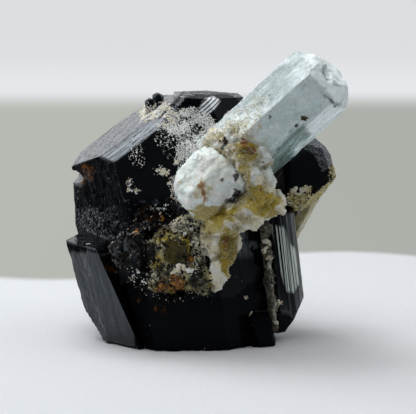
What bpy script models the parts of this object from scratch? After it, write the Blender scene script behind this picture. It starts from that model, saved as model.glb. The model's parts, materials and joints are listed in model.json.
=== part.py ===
"""Aquamarine on black tourmaline, a thumbnail mineral specimen that stands on its broken base.

A thick schorl crystal is the body. A column and a stub of schorl have grown against its right
side, a clear aquamarine prism leans out of its front towards the upper right, and milky beryl, a
feldspar crust and a druse cover the place where the prism comes out.

The script works in metres. X runs to the right of the side that is shown, Y to its back, Z up.
The origin is on the broken base, which is the flat face that the specimen stands on.
"""

import math

import bmesh
import bpy
from mathutils import Vector, noise

MM = 0.001
FRONT = Vector((0, -1, 0))

# Pieces that touch keep this gap, because their meshes hold rounded numbers.
GAP = 0.12 * MM

# A face of a crystal is (turn, tilt, distance): degrees turned from the front about the long
# axis, degrees tilted towards the upper end, and millimetres from the crystal's centre.

# The body. Its long axis leans to the left, as its striations do.
BLOCK_CENTRE = (-2.5, 0, 11)
BLOCK_AXIS = (-0.242, 0, 0.97)
BLOCK_FACES = {
    "front": (3, 0, 7.5),
    "front left": (-48, 0, 9.7),
    "left back": (-115, -13.5, 10.75),
    "left shoulder": (-96, 13.3, 11.35),
    "back left": (-155, 2, 11.0),
    "back": (172, -3, 8.3),
    "back right": (128, 3, 9.6),
    "right": (92, -8, 7.35),
    "front right": (42, -4, 8.1),
    "lower left break": (-95, -20, 12.2),
    "lower back break": (150, -30, 11.6),
    "left fracture": (-60, 5.7, 7.85),
    "grey roof": (-77.8, 68.6, 10.85),
    "bright ledge": (-36.8, 62.2, 10.98),
    "black wall": (6, 13, 7.2),
    "frosted slope": (44, 32, 8.85),
    "top": (84, 75, 12.3),
    "top right": (84, 53, 12.2),
    "top back": (165, 58, 14.3),
}
BASE_HEIGHT = 0.0

# Smaller schorl crystals that have grown in one with the body.
# The foot and the left blade take their distances from the body's centre.
FOOT_FACES = {
    "front": (3, 0, 8.45),
    "front left": (-46, 0, 9.7),
    "front right": (42, -4, 8.1),
    "right": (92, -8, 7.35),
    "shelf": (-10, 60, 6.0),
    "shelf right": (30, 50, 6.9),
    "back": (180, 0, 2.0),
    "left": (-100, 0, 5.0),
    "root": (0, -84, 13.0),
}
BLADE_FACES = {
    "front left": (-45, 0, 10.5),
    "front left step": (-53, 0, 10.85),
    "left back": (-112, 0, 9.5),
    "lower left break": (-95, -20, 12.2),
    "top": (71, 75.5, -0.8),
    "shoulder": (74, 13, -6.0),
    "back": (140, 0, -4.0),
    "root": (0, -84, 13.0),
}
# Flat slabs that stand out of the body's back and sides, side by side with its long axis:
# (turn, distance, sideways, half width, top).
SLABS = [
    (172, 8.9, -2.4, 2.3, 7.4),
    (168, 9.0, 3.4, 1.5, 1.5),
    (128, 10.0, 1.4, 1.9, 3.2),
    (-155, 11.4, -0.8, 1.7, 5.0),
]
CREST_CENTRE = (0.6, 2.2, 20.8)
CREST_FACES = {
    "front": (-14, 12, 5.0),
    "front right": (42, 20, 4.3),
    "right": (96, 12, 3.7),
    "back right": (150, 8, 3.4),
    "back left": (-150, 20, 4.0),
    "left": (-84, 20, 4.2),
    "top": (84, 74, 3.1),
    "root": (0, -90, 5.0),
}
NUB_CENTRE = (-5.4, 1.6, 22.4)
NUB_RADIUS = 0.5
NUBS = ((-0.35, 1.0), (0.35, 1.45))
BUD_CENTRE = (-7.1, -7.4, 9.3)
BUD_RADIUS = 1.9
CORNER_CENTRE = (4.9, -5.6, 1.2)
CORNER_RADIUS = 1.4

# The hollow that holds the druse, and the bites that are broken out of the left edge.
POCKET_CENTRE = (-3.2, -9.2, 9.3)
POCKET_RADII = (4.3, 2.6, 4.4)
CAVE_CENTRE = (-4.8, -8.6, 13.2)
CAVE_RADII = (1.9, 2.0, 1.5)
NOTCH_CENTRE = (-14.3, 1.5, 15.6)
NOTCH_RADII = (1.8, 6.0, 0.8)

# The column on the right, striated along its length.
COLUMN_CENTRE = (7.1, -2.4, 7.4)
COLUMN_AXIS = (-0.12, 0.06, 0.991)
COLUMN_RADIUS = 1.85
COLUMN_TOP = 6.2
COLUMN_FLUTE = 0.11
COLUMN_FLUTES = 30
COLUMN_END_FACES = {
    "foot front": (-10, -40, 4.6),
    "foot right": (90, -36, 3.7),
    "foot back": (170, -42, 5.0),
    "foot": (0, -84, 6.7),
    "top right": (60, 60, 5.6),
}

# The stub on the upper right, whose flat end looks out of the front.
STUB_CENTRE = (9.1, -2.6, 16.3)
STUB_AXIS = (0.16, -0.90, 0.40)
STUB_APOTHEM = 2.75
STUB_SPREAD = (-0.25, -0.1, 0.55, 0.2, -0.3, 0.1)
STUB_ROLL = 37
STUB_FACES = {
    "corner": (127, 0, 2.75),
    "end": (0, 84, 3.3),
    "end upper": (157, 50, 4.0),
    "end right": (100, 48, 3.77),
    "end side": (-120, 50, 4.2),
    "end lower": (20, 56, 4.3),
    "root": (0, -86, 4.4),
}

# The aquamarine prism: its tip, the way it points, its apothem and its length. A bevel is
# (turn, tilt, width), a small face that takes that much off the end's edge.
PRISM_TIP = (11.6, -9.4, 27.05)
PRISM_AXIS = (0.711, -0.19, 0.675)
PRISM_APOTHEM = 3.2
PRISM_LENGTH = 14.2
PRISM_ROLL = 4
PRISM_SPREAD = (0.05, -0.05, 0.1, 0.0, 0.05, -0.1)
PRISM_BEVELS = [
    (-122, 52, 1.7),
    (-60, 44, 0.9),
    (0, 50, 1.3),
    (62, 40, 1.35),
    (125, 50, 1.2),
    (180, 48, 1.05),
]

# The milky beryl that has grown beside the prism's root.
LOBE_CENTRE = (0.35, -9.0, 16.4)
LOBE_AXIS = (0.69, -0.12, 0.71)
LOBE_APOTHEM = 2.5
LOBE_HALF_LENGTH = 2.9
LOBE_ROLL = 12
LOBE_SPREAD = (0.1, -0.1, 0.15, 0.0, 0.1, -0.1)

# The crust: a lump is (centre, radii) in millimetres. Its surface swells and sinks by a share
# of its radii.
LUMP_ROUGHNESS = 0.3
CRUST_LUMPS = [
    ((2.6, -8.3, 21.0), (1.5, 2.4, 1.3)),
    ((1.2, -8.0, 19.9), (1.9, 2.6, 1.7)),
    ((1.9, -8.8, 18.3), (2.4, 2.2, 1.9)),
    ((3.9, -9.8, 19.0), (2.3, 1.9, 2.1)),
    ((4.6, -10.3, 16.4), (1.6, 1.6, 2.3)),
    ((3.3, -9.8, 14.0), (2.5, 2.2, 1.9)),
    ((5.6, -8.6, 14.2), (2.0, 1.6, 1.6)),
    ((1.5, -9.3, 12.9), (2.5, 1.9, 1.8)),
    ((0.6, -9.1, 11.2), (1.8, 1.5, 2.4)),
    ((1.7, -9.2, 10.4), (1.4, 1.1, 2.2)),
    ((1.0, -9.1, 8.4), (1.0, 1.0, 1.9)),
    ((0.6, -9.0, 6.9), (0.75, 0.8, 1.1)),
]

DRUSE_LUMPS = [
    ((-2.7, -8.3, 9.2), (3.7, 1.7, 3.4)),
    ((-1.6, -8.6, 11.6), (2.5, 1.7, 2.0)),
    ((-0.5, -8.6, 7.2), (2.0, 1.4, 1.8)),
    ((-4.3, -8.4, 7.0), (1.8, 1.2, 1.6)),
    ((-2.0, -8.9, 8.2), (1.5, 1.5, 1.6)),
]

# The small pale crystal behind the column.
QUARTZ_CENTRE = (8.95, 3.0, 12.2)
QUARTZ_AXIS = (0.47, 0.18, 0.86)
QUARTZ_APOTHEM = 1.4
QUARTZ_ROLL = 8
QUARTZ_SPREAD = (0, 0.1, 0, -0.1, 0, 0.1)
QUARTZ_TOP = 4.2
QUARTZ_ROOT = 3.4

# The seam of feldspar between the body and the column.
SEAM_LUMPS = [
    ((5.7, -3.6, 11.0), (0.7, 2.1, 1.7)),
    ((5.9, -3.7, 8.6), (0.7, 2.0, 1.8)),
    ((6.2, -3.8, 6.0), (0.7, 2.0, 1.8)),
    ((6.5, -3.8, 3.6), (0.7, 2.0, 1.6)),
    ((6.5, -3.8, 1.9), (0.6, 1.7, 1.1)),
]


def clear_scene():
    """Removes whatever the file holds."""
    for thing in list(bpy.data.objects):
        bpy.data.objects.remove(thing)


def material(name, colour, roughness, metallic=0.0, transmission=0.0):
    """A plain finish for one mineral."""
    made = bpy.data.materials.new(name)
    made.use_nodes = True
    shader = made.node_tree.nodes["Principled BSDF"]
    shader.inputs["Base Color"].default_value = (*colour, 1)
    shader.inputs["Roughness"].default_value = roughness
    shader.inputs["Metallic"].default_value = metallic
    shader.inputs["Transmission Weight"].default_value = transmission
    return made


def object_from(name, mesh_data):
    """A mesh object in the scene, from a bmesh, which is freed."""
    mesh = bpy.data.meshes.new(name)
    bmesh.ops.recalc_face_normals(mesh_data, faces=mesh_data.faces)
    mesh_data.to_mesh(mesh)
    mesh_data.free()
    made = bpy.data.objects.new(name, mesh)
    bpy.context.scene.collection.objects.link(made)
    return made


def directions(axis, facing=FRONT):
    """The unit long axis, the way to the right of it and the way out of its front."""
    axis = Vector(axis).normalized()
    right = axis.cross(facing).normalized()
    return axis, right, right.cross(axis)


def cut_crystal(name, centre, axis, faces, grow=0.0, facing=FRONT):
    """A solid with flat faces: a large cube cut by each face's plane, moved out by grow."""
    axis, right, out = directions(axis, facing)
    mesh_data = bmesh.new()
    bmesh.ops.create_cube(mesh_data, size=90 * MM)
    for turn, tilt, distance in faces.values():
        turn, tilt = math.radians(turn), math.radians(tilt)
        level = math.cos(turn) * out + math.sin(turn) * right
        normal = math.cos(tilt) * level + math.sin(tilt) * axis
        cut = bmesh.ops.bisect_plane(
            mesh_data,
            geom=mesh_data.verts[:] + mesh_data.edges[:] + mesh_data.faces[:],
            plane_co=normal * (distance * MM + grow),
            plane_no=normal,
            clear_outer=True,
        )
        rim = [e for e in cut["geom_cut"] if isinstance(e, bmesh.types.BMEdge)]
        if rim:
            bmesh.ops.contextual_create(mesh_data, geom=rim)
    bmesh.ops.translate(mesh_data, verts=mesh_data.verts, vec=Vector(centre) * MM)
    return object_from(name, mesh_data)


def cut_below(made, height):
    """Cuts a convex solid off flat at a height, and closes it there."""
    mesh_data = bmesh.new()
    mesh_data.from_mesh(made.data)
    cut = bmesh.ops.bisect_plane(
        mesh_data,
        geom=mesh_data.verts[:] + mesh_data.edges[:] + mesh_data.faces[:],
        plane_co=(0, 0, height),
        plane_no=(0, 0, -1),
        clear_outer=True,
    )
    rim = [e for e in cut["geom_cut"] if isinstance(e, bmesh.types.BMEdge)]
    bmesh.ops.contextual_create(mesh_data, geom=rim)
    mesh_data.to_mesh(made.data)
    mesh_data.free()


def six_sides(apothem, roll=0.0, spread=(0, 0, 0, 0, 0, 0)):
    """The sides of a six-sided prism. spread moves each side out, as real ones are uneven."""
    return {
        f"side {i}": (roll + 60 * i, 0, apothem + more) for i, more in enumerate(spread)
    }


def bevel(turn, tilt, radius, end, width):
    """A small face that takes a width off the edge between a side and an end."""
    lean = math.radians(abs(tilt))
    return turn, tilt, math.cos(lean) * (radius - width) + math.sin(lean) * end


def lump(name, centre, radii, seed, rough, grow=0.0):
    """A rounded, uneven mass."""
    mesh_data = bmesh.new()
    bmesh.ops.create_icosphere(mesh_data, subdivisions=2, radius=1)
    for vert in mesh_data.verts:
        swell = 1 + rough * noise.noise(vert.co * 1.7 + Vector((seed, 3 * seed, 7)))
        vert.co = Vector(
            c * MM + v * swell * (r * MM + grow) for c, v, r in zip(centre, vert.co, radii)
        )
    return object_from(name, mesh_data)


def boolean(target, other, operation):
    """Joins another solid to the target or cuts it away, and removes the other."""
    modifier = target.modifiers.new(operation, "BOOLEAN")
    modifier.object = other
    modifier.operation = operation
    graph = bpy.context.evaluated_depsgraph_get()
    mesh = bpy.data.meshes.new_from_object(target.evaluated_get(graph))
    target.modifiers.clear()
    target.data = mesh
    bpy.data.objects.remove(other)
    return target


def keep_largest(target):
    """Drops the chips that a cut has left loose."""
    mesh_data = bmesh.new()
    mesh_data.from_mesh(target.data)
    left = set(mesh_data.verts)
    islands = []
    while left:
        island, todo = set(), [left.pop()]
        while todo:
            vert = todo.pop()
            island.add(vert)
            for edge in vert.link_edges:
                near = edge.other_vert(vert)
                if near in left:
                    left.remove(near)
                    todo.append(near)
        islands.append(island)
    islands.sort(key=len)
    for island in islands[:-1]:
        bmesh.ops.delete(mesh_data, geom=list(island), context="VERTS")
    mesh_data.to_mesh(target.data)
    mesh_data.free()
    return target


def crest(grow):
    """The broad crystal on top of the body."""
    return cut_crystal("crest", CREST_CENTRE, BLOCK_AXIS, CREST_FACES, grow)


def foot(grow):
    """The lower front of the body, which stands out below the black wall."""
    return cut_crystal("foot", BLOCK_CENTRE, BLOCK_AXIS, FOOT_FACES, grow)


def blade(grow):
    """The slab with the striated face on the lower left."""
    return cut_crystal("blade", BLOCK_CENTRE, BLOCK_AXIS, BLADE_FACES, grow)


def slab(turn, distance, sideways, half_width, top, grow):
    """A flat slab along the body."""
    faces = {
        "face": (turn, 0, distance),
        "near side": (turn - 84, 0, half_width - sideways),
        "far side": (turn + 84, 0, half_width + sideways),
        "inside": (turn + 180, 0, 0),
        "top": (turn + 20, 68, top),
        "foot": bevel(turn, -30, distance, 7.4, 0),
        "root": (0, -84, 13.0),
    }
    return cut_crystal("slab", BLOCK_CENTRE, BLOCK_AXIS, faces, grow)


def small_prism(centre, radius, top, bottom, grow, axis=BLOCK_AXIS, roll=10):
    """A six-sided crystal with a low, off-centre point."""
    faces = six_sides(radius, roll)
    faces["tip left"] = (-70, 50, top)
    faces["tip right"] = (65, 58, top * 1.02)
    faces["tip back"] = (180, 62, top)
    faces["root"] = (0, -90, bottom)
    return cut_crystal("bud", centre, axis, faces, grow)


def schorl_block(grow=0.0):
    """The body with its crest and buds, and with its pocket, cave and notch broken out."""
    block = cut_crystal("schorl_block", BLOCK_CENTRE, BLOCK_AXIS, BLOCK_FACES, grow)
    corner = small_prism(CORNER_CENTRE, CORNER_RADIUS, 1.9, 9, grow, roll=24)
    for other in (foot(grow), corner, crest(grow), blade(grow)):
        boolean(block, other, "UNION")
    for turn, distance, sideways, half_width, top in SLABS:
        boolean(block, slab(turn, distance, sideways, half_width, top, grow), "UNION")
    for name, centre, radii in (
        ("pocket", POCKET_CENTRE, POCKET_RADII),
        ("cave", CAVE_CENTRE, CAVE_RADII),
        ("notch", NOTCH_CENTRE, NOTCH_RADII),
    ):
        boolean(block, lump(name, centre, radii, 2, 0.25, -grow), "DIFFERENCE")
    bud = small_prism(BUD_CENTRE, BUD_RADIUS, 1.9, 2.4, grow, roll=-20)
    boolean(block, bud, "UNION")
    for side, height in NUBS:
        centre = Vector(NUB_CENTRE) + Vector((side, 0, 0))
        nub = small_prism(centre, NUB_RADIUS, height, 3, grow, axis=(0.1 * side, 0.1, 1))
        boolean(block, nub, "UNION")
    cut_below(block, BASE_HEIGHT)
    return block


def schorl_column(grow=0.0):
    """The striated column on the right."""
    axis, right, out = directions(COLUMN_AXIS)
    mesh_data = bmesh.new()
    ring = []
    for i in range(COLUMN_FLUTES):
        angle = 2 * math.pi * i / COLUMN_FLUTES
        # A rounded triangle, the usual section of tourmaline, with a ridge at every other point.
        radius = COLUMN_RADIUS * (1 + 0.07 * math.cos(3 * angle + 0.6))
        radius += COLUMN_FLUTE * (i % 2) * (0.6 + 0.4 * math.sin(5 * i))
        level = math.cos(angle) * out + math.sin(angle) * right
        ring.append(mesh_data.verts.new(level * (radius * MM + grow) - axis * 12 * MM))
    floor = mesh_data.faces.new(ring)
    raised = bmesh.ops.extrude_face_region(mesh_data, geom=[floor])
    verts = [v for v in raised["geom"] if isinstance(v, bmesh.types.BMVert)]
    bmesh.ops.translate(mesh_data, verts=verts, vec=axis * (12 + COLUMN_TOP) * MM)
    bmesh.ops.translate(mesh_data, verts=mesh_data.verts, vec=Vector(COLUMN_CENTRE) * MM)
    column = object_from("schorl_column", mesh_data)
    ends = cut_crystal("ends", COLUMN_CENTRE, COLUMN_AXIS, COLUMN_END_FACES, grow)
    return boolean(column, ends, "INTERSECT")


def schorl_stub(grow=0.0):
    """The short thick crystal on the upper right."""
    faces = six_sides(STUB_APOTHEM, STUB_ROLL, STUB_SPREAD) | STUB_FACES
    up_side_down = Vector((0, 0, -1))
    return cut_crystal("schorl_stub", STUB_CENTRE, STUB_AXIS, faces, grow, facing=up_side_down)


def aquamarine_prism(grow=0.0):
    """The clear prism, with its flat end and the small faces round it."""
    middle = PRISM_LENGTH / 2
    centre = Vector(PRISM_TIP) - Vector(PRISM_AXIS).normalized() * middle
    faces = six_sides(PRISM_APOTHEM, PRISM_ROLL, PRISM_SPREAD)
    faces["end"] = (0, 88, middle)
    for turn, tilt, width in PRISM_BEVELS:
        faces[f"bevel {turn}"] = bevel(PRISM_ROLL + turn, tilt, PRISM_APOTHEM, middle, width)
    faces["root"] = (0, -90, middle)
    return cut_crystal("aquamarine_prism", centre, PRISM_AXIS, faces, grow)


def beryl_lobe(grow=0.0):
    """The milky crystal beside the root, with worn ends."""
    faces = six_sides(LOBE_APOTHEM, LOBE_ROLL, LOBE_SPREAD)
    for name, sign in (("upper", 1), ("lower", -1)):
        faces[f"{name} end"] = (0, 86 * sign, LOBE_HALF_LENGTH)
        for i in range(6):
            turn = LOBE_ROLL + 60 * i
            faces[f"{name} bevel {i}"] = bevel(
                turn, 45 * sign, LOBE_APOTHEM, LOBE_HALF_LENGTH, 0.9
            )
            faces[f"{name} corner {i}"] = bevel(
                turn + 30, 24 * sign, LOBE_APOTHEM, LOBE_HALF_LENGTH, 0.5
            )
    return cut_crystal("beryl_lobe", LOBE_CENTRE, LOBE_AXIS, faces, grow)


def mass_of_lumps(name, lumps, grow=0.0):
    """One solid from overlapping lumps."""
    made = None
    for seed, (centre, radii) in enumerate(lumps):
        more = lump(name, centre, radii, seed, LUMP_ROUGHNESS, grow)
        made = more if made is None else boolean(made, more, "UNION")
    made.name = name
    return made


def feldspar_crust(grow=0.0):
    """The crust round the prism's root, with the drip that hangs below it."""
    return mass_of_lumps("feldspar_crust", CRUST_LUMPS, grow)


def quartz_point():
    """The small pale crystal behind the column, with its six-sided point."""
    faces = six_sides(QUARTZ_APOTHEM, QUARTZ_ROLL, QUARTZ_SPREAD)
    for i in range(6):
        width = QUARTZ_APOTHEM - 0.15 * (i % 2)
        faces[f"point {i}"] = bevel(QUARTZ_ROLL + 60 * i, 46, QUARTZ_APOTHEM, QUARTZ_TOP, width)
    faces["root"] = (0, -86, QUARTZ_ROOT)
    return cut_crystal("quartz_point", QUARTZ_CENTRE, QUARTZ_AXIS, faces)


def cut_clear(made, *neighbours):
    """Cuts a piece where its neighbours are, so that it meets each across the gap."""
    for neighbour in neighbours:
        boolean(made, neighbour(GAP), "DIFFERENCE")
    return keep_largest(made)


def finish(made, finish_material):
    """Gives a piece its finish."""
    made.data.materials.clear()
    made.data.materials.append(finish_material)


def build():
    """Makes every piece. Each is cut where an earlier one already is."""
    clear_scene()
    schorl = material("schorl", (0.012, 0.013, 0.015), 0.25)
    clear_beryl = material("clear beryl", (0.66, 0.83, 0.85), 0.08, transmission=0.8)
    milky_beryl = material("milky beryl", (0.72, 0.76, 0.74), 0.45)
    feldspar = material("feldspar", (0.78, 0.72, 0.56), 0.8)
    drusy_quartz = material("drusy quartz", (0.42, 0.38, 0.18), 0.7)
    quartz = material("quartz", (0.72, 0.68, 0.5), 0.3)

    finish(schorl_block(), schorl)
    finish(cut_clear(aquamarine_prism(), schorl_block), clear_beryl)
    finish(cut_clear(schorl_column(), schorl_block), schorl)
    stub = cut_clear(schorl_stub(), schorl_block, aquamarine_prism, schorl_column)
    finish(stub, schorl)
    finish(cut_clear(beryl_lobe(), schorl_block, aquamarine_prism), milky_beryl)
    crystals = (schorl_block, aquamarine_prism, beryl_lobe, schorl_column, schorl_stub)
    finish(cut_clear(feldspar_crust(), *crystals), feldspar)
    druse = mass_of_lumps("druse", DRUSE_LUMPS)
    finish(cut_clear(druse, schorl_block, beryl_lobe, feldspar_crust), drusy_quartz)
    seam = mass_of_lumps("seam_crust", SEAM_LUMPS)
    finish(cut_clear(seam, schorl_block, schorl_column, feldspar_crust), feldspar)
    point = quartz_point()
    finish(cut_clear(point, schorl_block, schorl_column, schorl_stub), quartz)


build()
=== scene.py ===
"""Looks of an aquamarine specimen: a clear prism that leans out of black tourmaline.

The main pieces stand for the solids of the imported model, grains, films and lumps lie on or in
them, and all of them ride on its one body. Lengths are in metres, in the model's own frame: X to
the right of the shown side, Y to its back, Z up.
"""

import json
import logging
import math
from dataclasses import dataclass
from enum import Enum

import bmesh
import bpy
import numpy as np
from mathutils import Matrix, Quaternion, Vector, noise
from mathutils.bvhtree import BVHTree

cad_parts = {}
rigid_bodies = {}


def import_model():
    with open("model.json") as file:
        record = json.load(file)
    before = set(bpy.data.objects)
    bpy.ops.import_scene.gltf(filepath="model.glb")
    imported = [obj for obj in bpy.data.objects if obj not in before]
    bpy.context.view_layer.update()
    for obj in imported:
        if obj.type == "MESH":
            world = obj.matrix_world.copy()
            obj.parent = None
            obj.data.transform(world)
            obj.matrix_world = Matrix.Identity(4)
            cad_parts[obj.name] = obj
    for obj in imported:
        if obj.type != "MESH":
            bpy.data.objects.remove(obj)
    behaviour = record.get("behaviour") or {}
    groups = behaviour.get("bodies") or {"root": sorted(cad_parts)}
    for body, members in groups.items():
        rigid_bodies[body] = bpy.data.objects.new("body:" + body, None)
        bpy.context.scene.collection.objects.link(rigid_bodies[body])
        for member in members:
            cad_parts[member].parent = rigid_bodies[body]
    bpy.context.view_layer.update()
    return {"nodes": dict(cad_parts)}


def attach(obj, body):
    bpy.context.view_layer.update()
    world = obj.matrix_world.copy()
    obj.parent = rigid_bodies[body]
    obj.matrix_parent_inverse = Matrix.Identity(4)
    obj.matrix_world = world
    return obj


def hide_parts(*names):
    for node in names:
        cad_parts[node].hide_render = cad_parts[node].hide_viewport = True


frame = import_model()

LOG = logging.getLogger("specimen")
MM = 0.001
BODY = "root"

# The long axis of the body, which its striations follow.
BODY_AXIS = Vector((-0.242, 0, 0.97)).normalized()

# The refractive index of both beryl and tourmaline.
CRYSTAL_INDEX = 1.58


# Objects and meshes


def in_scene(name: str, data: bpy.types.ID) -> bpy.types.Object:
    """Adds an object to the scene.

    Args:
        name: its name.
        data: its mesh, light or camera.

    Returns:
        The object.
    """
    made = bpy.data.objects.new(name, data)
    bpy.context.scene.collection.objects.link(made)
    return made


def mesh_of(made: bmesh.types.BMesh, name: str) -> bpy.types.Mesh:
    """Ends a mesh that was built by hand.

    Args:
        made: the built mesh, which is freed.
        name: the name of the new mesh.

    Returns:
        The mesh.
    """
    mesh = bpy.data.meshes.new(name)
    made.to_mesh(mesh)
    made.free()
    return mesh


def plain_mesh(holder: bpy.types.Object) -> bpy.types.Mesh:
    """Turns what an object's modifiers make into a plain mesh. The object is removed.

    Args:
        holder: the object.

    Returns:
        The mesh.
    """
    graph = bpy.context.evaluated_depsgraph_get()
    mesh = bpy.data.meshes.new_from_object(holder.evaluated_get(graph))
    bpy.data.objects.remove(holder)
    return mesh


def turn_to(way: Vector) -> Quaternion:
    """The turn that takes Z to a direction."""
    return Vector((0, 0, 1)).rotation_difference(way)


def settle(made: bpy.types.Object, slot: str, *nodes: str) -> bpy.types.Object:
    """Makes an object a piece of the specimen.

    Args:
        made: the object.
        slot: the record's material slot; not used.
        nodes: the solids that it stands for, if any.

    Returns:
        The object.
    """
    if nodes:
        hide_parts(*nodes)
    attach(made, BODY)
    LOG.info("%s: %d faces", made.name, len(made.data.polygons))
    return made


# The view


@dataclass(frozen=True)
class Viewpoint:
    """The camera of the shown side, and the way a point of the photograph is found from it."""

    target: tuple = (0.0, 0.0, 0.0128)
    distance: float = 0.1733
    elevation: float = 8.0
    lens: float = 150.0
    sensor: float = 36.0
    frame_width: float = 416.0
    centre_px: tuple = (208.0, 207.0)

    def axes(self) -> np.ndarray:
        """The camera's own directions.

        Returns:
            Right, up and forward, as rows.
        """
        lift = math.radians(self.elevation)
        forward = (0, math.cos(lift), -math.sin(lift))
        return np.array([(1, 0, 0), (0, math.sin(lift), math.cos(lift)), forward])

    def place(self) -> np.ndarray:
        """Where the camera stands."""
        return np.array(self.target) - self.axes()[2] * self.distance

    def pixels(self, points: np.ndarray) -> np.ndarray:
        """The pixel at which each point is seen.

        Args:
            points: an array of points, one a row.

        Returns:
            An array of (x, y) pixels.
        """
        right, up, forward = self.axes()
        offset = points - self.place()
        scale = self.lens / self.sensor * self.frame_width / (offset @ forward)
        x = self.centre_px[0] + (offset @ right) * scale
        y = self.centre_px[1] - (offset @ up) * scale
        return np.stack([x, y], axis=1)

    def at_depth(self, x: float, y: float, depth: float) -> Vector:
        """The point that a pixel shows at a given Y.

        Args:
            x: the pixel's column.
            y: the pixel's row.
            depth: the point's Y.

        Returns:
            The point.
        """
        right, up, forward = self.axes()
        step = self.sensor / self.lens / self.frame_width
        across, down = (x - self.centre_px[0]) * step, (y - self.centre_px[1]) * step
        ray = forward + right * across - up * down
        start = self.place()
        return Vector(start + ray * (depth - start[1]) / ray[1])

    def ray(self, x: float, y: float) -> tuple:
        """The line of sight through a pixel.

        Args:
            x: the pixel's column.
            y: the pixel's row.

        Returns:
            Where the line starts, and its direction.
        """
        start = Vector(self.place())
        return start, (self.at_depth(x, y, 0.0) - start).normalized()

    def make(self) -> bpy.types.Object:
        """Makes the scene's camera.

        Returns:
            The camera.
        """
        data = bpy.data.cameras.new("camera")
        data.lens, data.sensor_width, data.clip_start = self.lens, self.sensor, 1 * MM
        camera = in_scene("camera", data)
        camera.location = self.place()
        camera.rotation_euler = (math.radians(90 - self.elevation), 0, 0)
        bpy.context.scene.camera = camera
        return camera


VIEW = Viewpoint()


# Shader expressions


class Shade:
    """A socket's value. Python's operators on it add the Math nodes that they name."""

    def __init__(self, nodes: "Nodes", socket: bpy.types.NodeSocket) -> None:
        """Wraps a socket of a node tree."""
        self.nodes, self.socket = nodes, socket

    def _math(self, operation: str, first: "Shade | float", second: "Shade | float") -> "Shade":
        """One Math node on two values."""
        return self.nodes.make("ShaderNodeMath", {"operation": operation}, {0: first, 1: second})

    def __add__(self, other: "Shade | float") -> "Shade":
        """The sum of the two."""
        return self._math("ADD", self, other)

    def __radd__(self, other: float) -> "Shade":
        """The sum, with a plain number on the left."""
        return self._math("ADD", other, self)

    def __sub__(self, other: "Shade | float") -> "Shade":
        """The other taken from this one."""
        return self._math("SUBTRACT", self, other)

    def __rsub__(self, other: float) -> "Shade":
        """This one taken from a plain number."""
        return self._math("SUBTRACT", other, self)

    def __mul__(self, other: "Shade | float") -> "Shade":
        """The product of the two."""
        return self._math("MULTIPLY", self, other)

    def __rmul__(self, other: float) -> "Shade":
        """The product, with a plain number on the left."""
        return self._math("MULTIPLY", other, self)

    def sine(self) -> "Shade":
        """The sine of the value in radians."""
        return self._math("SINE", self, 0.0)

    def clamp(self) -> "Shade":
        """The value held between 0 and 1."""
        limits = {"clamp": True, "interpolation_type": "LINEAR"}
        return self.nodes.make("ShaderNodeMapRange", limits, {"Value": self})

    def step(self, low: float, high: float) -> "Shade":
        """A smooth step of the value.

        Args:
            low: the value at and below which it is 0.
            high: the value at and above which it is 1.

        Returns:
            The step, 0 to 1.
        """
        settings = {"interpolation_type": "SMOOTHSTEP"}
        inputs = {"Value": self, "From Min": low, "From Max": high}
        return self.nodes.make("ShaderNodeMapRange", settings, inputs)


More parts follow.
